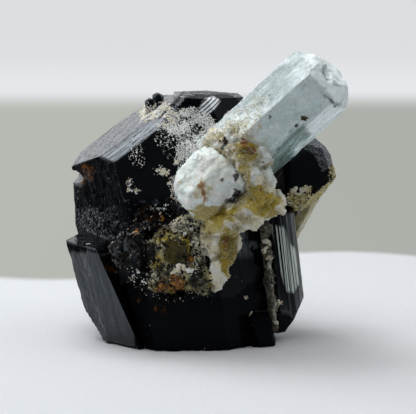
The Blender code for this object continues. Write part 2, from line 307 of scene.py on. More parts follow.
class Nodes:
    """A material's node tree, with one method that adds any node."""

    def __init__(self, name: str) -> None:
        """Starts an empty material."""
        self.material = bpy.data.materials.new(name)
        self.material.use_nodes = True
        self.tree = self.material.node_tree
        self.tree.nodes.clear()
        self.place = self.make("ShaderNodeTexCoord", {}, {}, "Object")

    def make(self, kind: str, settings: dict, inputs: dict, output: "str | int" = 0) -> Shade:
        """Adds a node.

        Args:
            kind: the node's type.
            settings: its properties, such as operation; stops gives a ramp's stops.
            inputs: its sockets' values or links, by name or number.
            output: the socket that is wanted, by name or number.

        Returns:
            That output, as an expression.
        """
        node = self.tree.nodes.new(kind)
        for name, value in settings.items():
            if name == "stops":
                self._set_stops(node.color_ramp, value)
            else:
                setattr(node, name, value)
        for name, value in inputs.items():
            socket = node.inputs[name]
            if isinstance(value, Shade):
                self.tree.links.new(value.socket, socket)
            else:
                socket.default_value = value
        return Shade(self, node.outputs[output])

    @staticmethod
    def _set_stops(ramp: bpy.types.ColorRamp, stops: list) -> None:
        """Sets a colour ramp's stops from (position, colour) pairs."""
        while len(ramp.elements) < len(stops):
            ramp.elements.new(0.5)
        for element, (position, colour) in zip(ramp.elements, stops):
            element.position, element.color = position, (*colour, 1)

    def noise(self, scale: float, detail: float = 3, rough: float = 0.55, at: Shade = None) -> Shade:
        """Fractal noise.

        Args:
            scale: how many features a metre holds.
            detail: how many finer layers there are.
            rough: how strong the finer layers are.
            at: the coordinates, if not the object's own.

        Returns:
            The noise, about 0 to 1.
        """
        inputs = {"Vector": at or self.place, "Scale": scale, "Detail": detail, "Roughness": rough}
        return self.make("ShaderNodeTexNoise", {}, inputs)

    def cell_edges(self, scale: float) -> Shade:
        """The distance to the nearest edge between cells, by their number in a metre."""
        inputs = {"Vector": self.place, "Scale": scale}
        return self.make("ShaderNodeTexVoronoi", {"feature": "DISTANCE_TO_EDGE"}, inputs, "Distance")

    def stretched(self, axis: tuple, scale: tuple) -> Shade:
        """Object coordinates turned so that Z lies along an axis, then scaled.

        Args:
            axis: the direction that becomes Z.
            scale: the three scales, across, across and along.

        Returns:
            The turned and scaled coordinates.
        """
        turn = turn_to(Vector(axis)).to_euler()
        shrink = tuple(1 / share for share in scale)
        inputs = {"Vector": self.place, "Rotation": turn, "Scale": shrink}
        return self.make("ShaderNodeMapping", {"vector_type": "TEXTURE"}, inputs)

    def streaks(self, axis: tuple, across: float, lengthwise: float, detail: float, rough: float) -> Shade:
        """Noise drawn out along an axis.

        Args:
            axis: the direction of the streaks.
            across: how many of them lie side by side in a metre.
            lengthwise: how many follow each other in a metre.
            detail: how many finer layers there are.
            rough: how strong the finer layers are.

        Returns:
            The noise, about 0 to 1.
        """
        return self.noise(1, detail, rough, self.stretched(axis, (across, across, lengthwise)))

    def attribute(self, name: str) -> Shade:
        """A value painted on the mesh."""
        return self.make("ShaderNodeAttribute", {"attribute_name": name}, {}, "Fac")

    def mix(self, share: Shade, first: "Shade | tuple", second: "Shade | tuple") -> Shade:
        """A colour between two.

        Args:
            share: how much of the second it has.
            first: the one colour.
            second: the other.

        Returns:
            The mixed colour.
        """
        colours = {
            key: value if isinstance(value, Shade) else (*value, 1)
            for key, value in ((6, first), (7, second))
        }
        return self.make("ShaderNodeMix", {"data_type": "RGBA"}, {0: share, **colours}, 2)

    def bump(self, height: Shade, distance: float, strength: float) -> Shade:
        """A bump in the surface.

        Args:
            height: the height, 0 to 1.
            distance: the real depth of its full range in metres.
            strength: how much of it is seen.

        Returns:
            The bent normal.
        """
        inputs = {"Height": height, "Distance": distance, "Strength": strength}
        return self.make("ShaderNodeBump", {}, inputs, "Normal")

    def surface(self, **inputs: "Shade | float | tuple") -> Shade:
        """A Principled shader.

        Args:
            inputs: its inputs. Underscores in their names stand for spaces.

        Returns:
            The shader.
        """
        named = {key.replace("_", " "): value for key, value in inputs.items()}
        if not isinstance(named["Base Color"], Shade):
            named["Base Color"] = (*named["Base Color"], 1)
        return self.make("ShaderNodeBsdfPrincipled", {}, named)

    def mix_shaders(self, share: Shade, first: Shade, second: Shade) -> Shade:
        """A shader between two, by a share."""
        return self.make("ShaderNodeMixShader", {}, {0: share, 1: first, 2: second})

    def finish(self, surface: Shade, volume: Shade = None) -> bpy.types.Material:
        """Ends the tree in its output node.

        Args:
            surface: the shader of the surface.
            volume: the shader of the inside, if any.

        Returns:
            The material.
        """
        node = self.tree.nodes.new("ShaderNodeOutputMaterial")
        self.tree.links.new(surface.socket, node.inputs["Surface"])
        if volume:
            self.tree.links.new(volume.socket, node.inputs["Volume"])
        return self.material


# Shapes

# The seed of the noise that makes the rims of patches and areas uneven.
RIM_SEED = 5

# How far the next seed's pattern lies from this one's, for each kind of relief.
FRACTAL_SHIFT, PLATE_SHIFT, NODULE_SHIFT = np.array((7.3, 3.1, 5.7)), 13.7, 17.3

# Points of a solid that are nearer than this are one, and faces within this angle are flat.
SAME_POINT = 0.002 * MM
SAME_FACE = math.radians(0.6)


def fractal(points: np.ndarray, size: float, octaves: int, seed: int) -> np.ndarray:
    """Fractal noise at each point, about -1 to 1.

    Args:
        points: the points.
        size: the size of the largest features.
        octaves: how many finer layers there are.
        seed: picks the pattern.

    Returns:
        One value a point.
    """
    shift = FRACTAL_SHIFT * seed + 11.5
    return np.array([noise.fractal(p, 1.0, 2.0, octaves) for p in points / size + shift])


def plates(points: np.ndarray, size: float, seed: int) -> np.ndarray:
    """Small flat plates, each tilted its own way.

    Args:
        points: the points.
        size: the size of a plate.
        seed: picks the pattern.

    Returns:
        One height a point, as a share of the size, about -0.5 to 0.5.
    """
    heights = []
    for p in points / size + seed * PLATE_SHIFT:
        spot = Vector(p)
        centre = noise.voronoi(spot)[1][0]
        heights.append((spot - centre).dot(noise.cell_vector(centre * 37.0) - Vector((0.5,) * 3)))
    return np.array(heights)


def nodules(points: np.ndarray, size: float, seed: int) -> np.ndarray:
    """Rounded lumps side by side.

    Args:
        points: the points.
        size: the size of a lump.
        seed: picks the pattern.

    Returns:
        One height a point, 0.6 on the lumps' tops and below 0 between them.
    """
    spots = points / size + seed * NODULE_SHIFT
    return np.array([1 - noise.voronoi(Vector(p))[0][0] * 1.35 for p in spots]) - 0.4


def unit(way: tuple) -> np.ndarray:
    """A direction of length 1."""
    return np.array(Vector(way).normalized())


def along(points: np.ndarray, axis: tuple, share: float) -> np.ndarray:
    """The points squeezed along an axis, for patterns that are drawn out on it.

    Args:
        points: the points.
        axis: the axis.
        share: what is left of their distance along it.

    Returns:
        The squeezed points.
    """
    way = unit(axis)
    return points - np.outer(points @ way, way) * (1 - share)


def ease(values: np.ndarray, low: float, high: float) -> np.ndarray:
    """A smooth step: 0 below low, 1 above high."""
    share = np.clip((values - low) / (high - low), 0, 1)
    return share * share * (3 - 2 * share)


def facing(normals: np.ndarray, way: tuple, least: float) -> np.ndarray:
    """How nearly each normal points a given way.

    Args:
        normals: the normals.
        way: the direction.
        least: the cosine at which it counts as that way.

    Returns:
        One value a normal, 1 for that way, easing to 0 as it turns from it.
    """
    return ease(normals @ unit(way), least - 0.05, least + 0.02)


@dataclass(frozen=True)
class Relief:
    """Fractal relief, its size and height in millimetres, in flat steps where they are given."""

    size: float
    height: float
    octaves: int
    seed: int
    steps: int = 0

    def at(self, points: np.ndarray) -> np.ndarray:
        """Its height at each point, in millimetres."""
        heights = fractal(points, self.size * MM, self.octaves, self.seed)
        if self.steps:
            heights = np.round(heights * self.steps)
        return heights * self.height


@dataclass(frozen=True)
class Plates:
    """Relief of small tilted plates, its size and height in millimetres."""

    size: float
    height: float
    seed: int

    def at(self, points: np.ndarray) -> np.ndarray:
        """Its height at each point, in millimetres."""
        return plates(points, self.size * MM, self.seed) * self.height


@dataclass(frozen=True)
class Clumps:
    """Uneven cover: the size of its clumps in millimetres, and the noise where they start and end."""

    size: float
    low: float
    high: float
    seed: int
    least: float = 0.0
    octaves: int = 3

    def at(self, points: np.ndarray) -> np.ndarray:
        """The cover at each point, from the least between the clumps to 1 on them."""
        heights = fractal(points, self.size * MM, self.octaves, self.seed)
        return self.least + (1 - self.least) * ease(heights, self.low, self.high)


@dataclass(frozen=True)
class Patch:
    """A soft oval on the shown side: its centre and half sizes in the photograph's pixels."""

    x: float
    y: float
    wide: float
    high: float
    weight: float = 1.0
    turn: float = 0.0

    def distance(self, pixels: np.ndarray) -> np.ndarray:
        """How far pixels are from the centre.

        Args:
            pixels: an array of (x, y) pixels.

        Returns:
            One value a pixel, 1 at the oval's rim.
        """
        angle = math.radians(self.turn)
        dx, dy = pixels[:, 0] - self.x, pixels[:, 1] - self.y
        across = (dx * math.cos(angle) - dy * math.sin(angle)) / self.wide
        down = (dx * math.sin(angle) + dy * math.cos(angle)) / self.high
        return np.hypot(across, down)


def painted(points: np.ndarray, patches: tuple, wobble: float = 0.35, size: float = 0.8) -> np.ndarray:
    """How far each point lies in any of some patches.

    Args:
        points: the points.
        patches: the ovals.
        wobble: how uneven their rims are, as a share of their size.
        size: the size of the unevenness, in millimetres.

    Returns:
        One value a point, 0 outside and the patch's weight inside.
    """
    pixels = VIEW.pixels(points)
    uneven = fractal(points, size * MM, 3, RIM_SEED) * wobble
    best = np.zeros(len(points))
    for patch in patches:
        cover = 1 - ease(patch.distance(pixels) + uneven, 0.75, 1.15)
        best = np.maximum(best, patch.weight * cover)
    return best


def region(points: np.ndarray, outline: tuple, soft: float, wobble: float) -> np.ndarray:
    """How far each point lies in an area of the shown side.

    Args:
        points: the points.
        outline: the area's corners, in the photograph's pixels.
        soft: half the width of its rim, in pixels.
        wobble: how uneven the rim is, in pixels.

    Returns:
        One value a point, from 0 outside to 1 inside.
    """
    pixels = VIEW.pixels(points)
    corners = np.array(outline, float)
    nearest = np.full(len(points), np.inf)
    inside = np.zeros(len(points), bool)
    for start, end in zip(corners, np.roll(corners, -1, axis=0)):
        side = end - start
        share = np.clip(((pixels - start) @ side) / (side @ side), 0, 1)
        gap = np.linalg.norm(pixels - start - share[:, None] * side, axis=1)
        nearest = np.minimum(nearest, gap)
        spans = (start[1] > pixels[:, 1]) != (end[1] > pixels[:, 1])
        crossing = start[0] + (pixels[:, 1] - start[1]) * side[0] / (side[1] or 1e-9)
        inside ^= spans & (pixels[:, 0] < crossing)
    depth = np.where(inside, nearest, -nearest) + fractal(points, 0.8 * MM, 3, RIM_SEED) * wobble
    return ease(depth, -soft, soft)


@dataclass(frozen=True)
class Fineness:
    """How fine a mesh is: its longest edge, and how many times longer along an axis and behind."""

    edge: float
    axis: tuple
    stretch: float = 1.0
    behind: float = 1.0

    def length(self, item: bmesh.types.BMEdge, way: Vector) -> float:
        """An edge's length, counted less along the axis and in the rear half.

        Args:
            item: the edge.
            way: the axis, of length 1.

        Returns:
            The length.
        """
        gap = item.verts[1].co - item.verts[0].co
        share = self.behind if item.verts[0].co.y + item.verts[1].co.y > 0 else 1.0
        return (gap - way * gap.dot(way) * (1 - 1 / self.stretch)).length / share

    def refine(self, made: bmesh.types.BMesh, rounds: int = 12) -> None:
        """Splits long edges until none is longer than the limit.

        Args:
            made: the mesh.
            rounds: how many times it is split at most.
        """
        way = Vector(self.axis).normalized()
        for _ in range(rounds):
            long_edges = [item for item in made.edges if self.length(item, way) > self.edge]
            if not long_edges:
                return
            bmesh.ops.subdivide_edges(made, edges=long_edges, cuts=1)
            bmesh.ops.triangulate(made, faces=[f for f in made.faces if len(f.verts) > 3])


class Surface:
    """A dense copy of a CAD solid whose points can be pushed along their normals."""

    def __init__(self, node: str, fineness: Fineness = None, voxel: float = 0.0, smooth: int = 0) -> None:
        """Copies the solid.

        Args:
            node: the solid's node.
            fineness: how the copy's flat faces are split.
            voxel: if given, the copy is remeshed with voxels of this size, which rounds it.
            smooth: how many times the remeshed copy is smoothed.
        """
        self.node = node
        made = bmesh.new()
        made.from_mesh(frame["nodes"][node].data)
        bmesh.ops.remove_doubles(made, verts=made.verts, dist=SAME_POINT)
        if fineness:
            bmesh.ops.dissolve_limit(made, angle_limit=SAME_FACE, verts=made.verts, edges=made.edges)
            bmesh.ops.triangulate(made, faces=made.faces)
            fineness.refine(made)
        self.mesh = mesh_of(made, node + "_surface")
        if voxel:
            self._remesh(voxel)
        if smooth:
            self._smooth(smooth)
        self.read()

    def _remesh(self, voxel: float) -> None:
        """Remeshes the copy with voxels."""
        holder = in_scene("remeshed", self.mesh)
        modifier = holder.modifiers.new("remesh", "REMESH")
        modifier.mode, modifier.voxel_size = "VOXEL", voxel
        self.mesh = plain_mesh(holder)

    def _smooth(self, times: int) -> None:
        """Rounds the copy's edges."""
        every_way = {"use_axis_x": True, "use_axis_y": True, "use_axis_z": True}
        made = bmesh.new()
        made.from_mesh(self.mesh)
        for _ in range(times):
            bmesh.ops.smooth_vert(made, verts=made.verts, factor=0.5, **every_way)
        made.to_mesh(self.mesh)
        made.free()

    def read(self) -> None:
        """Reads the points and their normals from the mesh."""
        count = len(self.mesh.vertices)
        self.points = np.empty(count * 3)
        self.mesh.vertices.foreach_get("co", self.points)
        self.points = self.points.reshape(-1, 3)
        self.normals = np.empty(count * 3, np.float32)
        self.mesh.vertex_normals.foreach_get("vector", self.normals)
        self.normals = self.normals.reshape(-1, 3).astype(float)

    def push(self, heights: np.ndarray) -> None:
        """Moves the points along their normals, by heights in millimetres."""
        moved = self.points + self.normals * (heights * MM)[:, None]
        self.mesh.vertices.foreach_set("co", moved.ravel())
        self.mesh.update()
        self.read()

    def paint(self, name: str, values: np.ndarray) -> None:
        """Stores a value for each point, for shaders and scatters to read."""
        attribute = self.mesh.attributes.new(name, "FLOAT", "POINT")
        attribute.data.foreach_set("value", np.asarray(values, np.float32))

    def front(self) -> np.ndarray:
        """1 where the surface faces the shown side, 0 where it faces away."""
        return ease(-self.normals[:, 1] + 0.14 * self.normals[:, 2], 0.0, 0.2)

    def object(
        self, name: str, material: bpy.types.Material, slot: str, sharp: float = 28
    ) -> bpy.types.Object:
        """Ends the surface as a piece of the specimen, in place of its solid.

        Args:
            name: the piece's name.
            material: its material.
            slot: the record's material slot.
            sharp: the angle in degrees above which an edge stays sharp.

        Returns:
            The object.
        """
        self.mesh.materials.clear()
        self.mesh.materials.append(material)
        self.mesh.shade_smooth()
        self.mesh.set_sharp_from_angle(angle=math.radians(sharp))
        return settle(in_scene(name, self.mesh), slot, self.node)


# Areas of the shown side, in the photograph's pixels

# On the body.
FROST = (
    (171, 112), (182, 110), (198, 107), (207, 115), (220, 125), (231, 130), (218, 142), (209, 150),
    (200, 160), (190, 172), (180, 180), (177, 165), (173, 147), (165, 136), (160, 126),
)
PATCH_CRUST = (
    (139, 112), (144, 106), (152, 104), (158, 101), (170, 106), (178, 110), (180, 117), (174, 124),
    (160, 121), (148, 122), (141, 120),
)
CREST_STRIP = ((170, 112), (182, 96), (187, 98), (178, 106), (174, 113))
ROOF = (
    (70, 168), (74, 160), (100, 136), (141, 100), (170, 104), (143, 126), (101, 156), (93, 155), (84, 162),
)
SHELF = ((112, 196), (150, 203), (176, 198), (190, 208), (190, 240), (150, 236), (112, 236))
POCKET_RIM = (
    (122, 232), (140, 215), (160, 203), (190, 206), (214, 222), (226, 262), (214, 290), (190, 300),
    (165, 302), (140, 292), (128, 275),
)
CREST_RIM = (
    (180, 98), (184, 92), (196, 89), (210, 90), (222, 88), (234, 90), (250, 97), (252, 103),
    (244, 104), (236, 98), (228, 94), (220, 94), (206, 95), (196, 94), (187, 97),
)
CREST_TOP = (
    (158, 118), (186, 88), (258, 84), (262, 110), (238, 132), (216, 126), (206, 108), (186, 106),
)
# Painted reflection: the crest's striped facet.
CREST_FACET = ((198, 111), (208, 116), (217, 106), (221, 100), (213, 96), (206, 98), (201, 104))
BLADE_FACE = ((60, 232), (92, 240), (106, 272), (118, 290), (134, 330), (136, 350), (60, 350))
# Painted shade: the foot on the front, made dull black.
FOOT = ((108, 262), (150, 300), (235, 300), (275, 262), (286, 300), (286, 356), (100, 356))
FLECKS = (
    Patch(138, 156, 9, 10, 0.40), Patch(162, 138, 7, 8, 0.5), Patch(176, 186, 8, 9, 0.9),
    Patch(130, 183, 4, 4, 0.7), Patch(134, 190, 8, 3, 0.5), Patch(163, 171, 6, 4, 1.0),
    Patch(177, 160, 4, 2.4, 0.9), Patch(177, 198, 4, 3, 1.0), Patch(166, 146, 5, 12, 0.3),
)
# Painted glints: highlights on the dark buds, laid on as chalk.
GLINTS = (
    Patch(135.5, 236, 5.5, 1.6, 1.0, 40), Patch(138, 242, 3.5, 1.2, 1.0, 60),
    Patch(117, 248, 5, 1.6, 1.0, 55), Patch(147, 241, 1.6, 1.4, 0.9),
    Patch(131, 233, 3, 1.3, 0.9, 10), Patch(121, 252, 3, 1, 0.8, 70),
)
# Light-grey fibres on the broken faces, partly painted sparkle.
SCRATCHES_AND_SPARKLE = (
    Patch(88, 220, 22, 11, 0.9), Patch(103, 236, 12, 8, 1.0), Patch(84, 176, 9, 8, 0.35),
    Patch(74, 196, 6, 12, 0.35), Patch(112, 215, 8, 12, 0.4),
)
STAINS = (
    Patch(87, 172, 7, 9, 0.7, 20), Patch(82, 181, 3, 3, 0.9), Patch(112, 268, 6, 5, 0.5),
    Patch(160, 309, 6, 4, 0.45), Patch(139, 301, 2, 2, 0.6), Patch(136, 232, 2.5, 2.5, 1.0),
    Patch(147, 214, 12, 8, 0.4), Patch(158, 222, 5, 4, 0.9),
)
SNOW = (
    Patch(187, 112, 8, 4, 0.9, 15), Patch(203, 120, 11, 5, 0.9, -10), Patch(218, 129, 14, 5, 1.0, -15),
    Patch(172, 128, 7, 6, 0.6), Patch(183, 128, 10, 6, 0.6, 30), Patch(205, 138, 10, 8, 0.6, 40),
    Patch(182, 152, 6, 12, 0.5, 10), Patch(192, 148, 9, 8, 0.6), Patch(183, 172, 5, 8, 0.6),
)
BUDS = (Patch(128, 246, 17, 14, 1.0), Patch(150, 262, 10, 14, 0.5), Patch(118, 262, 8, 12, 0.5))

# On the stub and the column.
# The stub's bevel: dust that also paints its slate-grey sheen.
STUB_BEVEL = (
    (296, 143), (305, 136), (320, 140), (331, 156), (332, 166), (322, 172), (314, 155), (300, 146),
)
STUB_ROOT = ((264, 160), (290, 160), (290, 214), (264, 214))
STUB_CRUST = (
    (337, 163), (339, 178), (335, 187), (326, 193), (304, 207), (290, 214), (288, 206), (292, 203),
    (287, 198), (290, 190), (296, 192), (291, 199), (300, 193), (306, 186), (312, 188), (311, 195),
    (322, 188), (330, 178), (328, 168),
)
# Painted reflection: the bright stripes down the column.
REFLECTION_STRIPES = (
    (272, 226), (284, 226), (290, 244), (296, 250), (299, 284), (293, 292), (287, 292), (280, 270),
)

# On the aquamarine.
COAT = (
    (224, 134), (231, 115), (246, 101), (262, 88), (276, 84), (270, 104), (258, 118), (262, 136),
    (256, 162), (238, 162),
)
WORN_EDGE = (
    (300, 134), (304, 126), (318, 112), (332, 92), (338, 82), (348, 78), (342, 108), (334, 122),
    (318, 136),
)
# Painted shade: the prism's lower right face, and a share of it on its top left face.
SHADED_LOWER_FACE = (
    (268, 186), (271, 160), (278, 147), (294, 131), (304, 124), (312, 136), (296, 146), (286, 176),
)
SHADED_TOP_FACE = (Patch(270, 88, 36, 10, 0.34, 45),)
TIP_DENTS = (Patch(328, 73, 4, 8, 1.0, 20), Patch(338, 104, 3, 2, 0.6))
TIP_PITS = (
    Patch(328, 72, 1.9, 8, 0.8, 20), Patch(332, 101, 1.2, 12, 0.95, 53),
    Patch(338, 85, 4.5, 1.2, 0.6, -15), Patch(323, 62, 1.2, 3, 0.3, 20), Patch(334, 80, 1.0, 4, 0.4, 10),
)
BROWN_SPOTS = (
    Patch(304, 117.5, 2.5, 2, 0.9), Patch(297, 125, 1.4, 1.4, 0.9), Patch(270, 117, 1.3, 1.3, 0.9),
    Patch(291, 131, 2.4, 1.0, 0.7, 35),
)
# Painted light: a glint on the worn edge, and milkier, lighter patches on the front face.
PAINTED_LIGHT_ON_FRONT = (
    Patch(331, 113, 6, 2.5, 0.9, 25), Patch(292, 104, 26, 13, 0.15, 45), Patch(280, 130, 12, 12, 0.2),
)
YELLOWED = (
    Patch(262, 165, 22, 26, 0.35), Patch(240, 140, 14, 20, 0.5), Patch(258, 100, 8, 5, 0.3),
)

# On the milky lobe.
LOBE_EDGE = ((228, 138), (250, 140), (252, 220), (190, 222), (192, 206), (222, 200), (232, 170))
LOBE_LEFT = ((180, 196), (182, 174), (196, 156), (214, 143), (218, 150), (200, 164), (189, 190))
LOBE_RUST = (
    Patch(201, 186, 4, 4, 0.8), Patch(203, 193, 3, 5, 0.9), Patch(205, 200, 3, 3, 0.6),
    Patch(190, 196, 3, 2, 0.4),
)
LOBE_YELLOW = (
    Patch(212, 214, 26, 9, 0.9), Patch(198, 208, 10, 6, 0.6), Patch(234, 160, 10, 14, 0.3),
    Patch(203, 191, 8, 11, 0.5),
)
# Painted shade: the dark crevice along the lobe's right side.
LOBE_CREVICE_SHADE = (
    Patch(222, 180, 2.4, 2.0, 0.8), Patch(236, 176, 3, 5, 0.9), Patch(237, 195, 4, 7, 1.0),
    Patch(229, 201, 4, 3, 0.8),
)

# On the crusts, by the value that each list paints.
FELDSPAR_PAINTS = {
    "pale": (
        Patch(266, 165, 13, 24, 1.0, 20), Patch(250, 182, 8, 10, 0.5), Patch(236, 128, 16, 16, 0.5),
    ),
    "yellow": (
        Patch(263, 203, 20, 16, 0.9, -35), Patch(215, 214, 26, 9, 0.9), Patch(248, 156, 12, 7, 0.7),
        Patch(244, 176, 8, 14, 0.5), Patch(240, 196, 8, 16, 0.5), Patch(204, 246, 8, 30, 0.35),
        Patch(214, 226, 12, 10, 0.6),
    ),
    "ochre": (
        Patch(228, 254, 10, 22, 1.0), Patch(262, 208, 16, 12, 0.5), Patch(232, 236, 8, 8, 0.7),
        Patch(246, 148, 13, 8, 0.9), Patch(238, 152, 8, 5, 0.6),
    ),
    "rust": (
        Patch(243, 142, 4, 6, 1.0), Patch(251, 151, 6, 4, 0.9), Patch(226, 245, 3, 9, 0.8),
        Patch(216, 212, 3, 3, 0.7), Patch(262, 190, 3, 3, 0.5),
    ),
    "olive": (Patch(247, 151, 8, 4, 0.6), Patch(232, 250, 6, 12, 0.5)),
    # A black dot, and painted shade in the crevice along the lobe's right side.
    "black": (
        Patch(225, 141, 3, 3, 1.0), Patch(233, 164, 2, 3, 0.8), Patch(236, 176, 3, 3, 0.9),
        Patch(239, 195, 3, 7, 0.9), Patch(233, 198, 5, 7, 1.0), Patch(228, 178, 2, 3, 0.9),
    ),
    "pepper": (
        Patch(200, 262, 11, 26, 1.0), Patch(190, 240, 14, 20, 0.9), Patch(232, 196, 9, 9, 0.6),
    ),
}
DRUSE_PAINTS = {
    "olive": (Patch(175, 253, 13, 14, 1.0), Patch(170, 228, 14, 12, 0.45)),
    "ochre": (
        Patch(190, 222, 14, 8, 0.8), Patch(166, 236, 10, 10, 0.6), Patch(158, 262, 8, 10, 0.6),
        Patch(186, 246, 5, 14, 0.7), Patch(172, 294, 10, 5, 0.7),
    ),
    "cream": (
        Patch(200, 240, 9, 30, 0.8), Patch(184, 222, 18, 10, 1.0), Patch(178, 270, 6, 6, 0.9),
        Patch(150, 276, 12, 8, 0.5),
    ),
    "rust": (
        Patch(176, 285, 9, 9, 1.0), Patch(162, 221, 4, 4, 0.9), Patch(190, 259, 4, 5, 0.8),
        Patch(162, 286, 6, 8, 0.8),
    ),
    "black": (
        Patch(148, 252, 9, 12, 0.9), Patch(198, 280, 10, 12, 0.6), Patch(168, 268, 10, 6, 0.6),
    ),
    "pepper": (
        Patch(195, 245, 22, 34, 1.0), Patch(160, 275, 26, 18, 1.0), Patch(150, 240, 14, 30, 0.8),
    ),
    "bare": (Patch(175, 253, 11, 12, 1.0),),
}
SEAM_PAINTS = {
    "pale": (
        Patch(269, 246, 2.5, 9, 1.0), Patch(270, 262, 2.5, 9, 1.0), Patch(271.5, 280, 2.2, 8, 1.0),
        Patch(274, 300, 2.5, 8, 1.0), Patch(276, 318, 3, 10, 1.0),
    ),
    "black": (Patch(264, 270, 3, 30, 0.8), Patch(277, 290, 2, 10, 0.8)),
    "pepper": (Patch(271, 280, 14, 60, 0.8),),
}

# Single lumps, each with its radius.
CREAM_LUMPS = (
    (178, 269, 4.2), (174, 273, 3), (183, 266, 3), (163, 171, 3.6), (158, 170, 2.4), (168, 173, 2.2),
    (176, 160, 2.8), (180, 159, 1.8), (177, 198, 2.8), (172, 196, 2), (169, 183, 2.2), (174, 188, 3),
    (180, 183, 2.6), (172, 179, 1.8), (300, 189, 4.4), (307, 188, 3.6), (293, 191, 3.2), (289, 202, 3),
    (297, 193, 2.6), (334, 168, 2.4), (335, 175, 2.8), (334, 182, 2.8), (331, 188, 2.2),
    (266, 242, 3.2), (266, 250, 2.8), (268, 258, 2.6), (281, 302, 2.8), (250, 314, 2.4),
    (246, 298, 1.6), (146, 115, 2.4), (226, 148, 3.6), (229, 155, 3.2), (223, 153, 3),
    (232, 148, 3.2), (235, 156, 2.6), (151, 113, 2.2), (163, 105, 2.4), (158, 108, 2),
    (128, 189, 1.8), (136, 191, 1.8),
)
WHITE_LUMPS = (
    (191, 272, 3.4), (187, 269, 2), (116, 247, 2.8), (119, 244, 2), (88, 244, 1.6), (138, 272, 1.8),
    (144, 281, 2), (150, 288, 1.6), (133, 276, 1.4), (156, 205, 1.6), (158, 209, 1.6),
    (161, 213, 1.7), (164, 209, 1.5), (166, 205, 1.4), (153, 208, 1.2), (186, 235, 2), (192, 228, 2.2),
)
BROWN_LUMPS = (
    (304, 117.5, 2.6), (302.5, 119, 1.8), (297, 125, 1.6), (270, 117, 1.5), (225, 141, 3),
    (262, 162, 1.2),
)
RUST_LUMPS = (
    (135.6, 232, 1.8), (138, 229, 1.2), (162, 221, 2.6), (190, 259, 2.2), (176, 284, 3.4),
    (170, 288, 2.6), (160, 287, 2.6), (181, 280, 2.4), (130, 181, 1.4), (243, 140, 1.8),
    (244, 145, 1.4), (251, 151, 2.2),
)


# Grains


class GrainShape(Enum):
    """The shapes that grains and small crystals have."""

    GRAIN = "grain"
    CRYSTAL = "crystal"


def grain_mesh(shape: GrainShape, rng: np.random.Generator) -> bpy.types.Mesh:
    """One grain about one metre across, which a scatter makes small.

    Args:
        shape: the kind of grain.
        rng: the source of its unevenness.

    Returns:
        Its mesh.
    """
    made = bmesh.new()
    if shape is GrainShape.CRYSTAL:
        bmesh.ops.create_cone(made, cap_ends=True, segments=6, radius1=0.32, radius2=0.3, depth=0.9)
        made.verts.new((rng.uniform(-0.1, 0.1), rng.uniform(-0.1, 0.1), 0.7))
    else:
        for point in rng.normal(size=(9, 3)):
            point /= np.linalg.norm(point)
            made.verts.new(point * rng.uniform(0.38, 0.55) * (1, rng.uniform(0.7, 1), 0.8))
    bmesh.ops.convex_hull(made, input=made.verts)
    loose = [v for v in made.verts if not v.link_faces]
    bmesh.ops.delete(made, geom=loose, context="VERTS")
    bmesh.ops.recalc_face_normals(made, faces=made.faces)
    return mesh_of(made, shape.value)


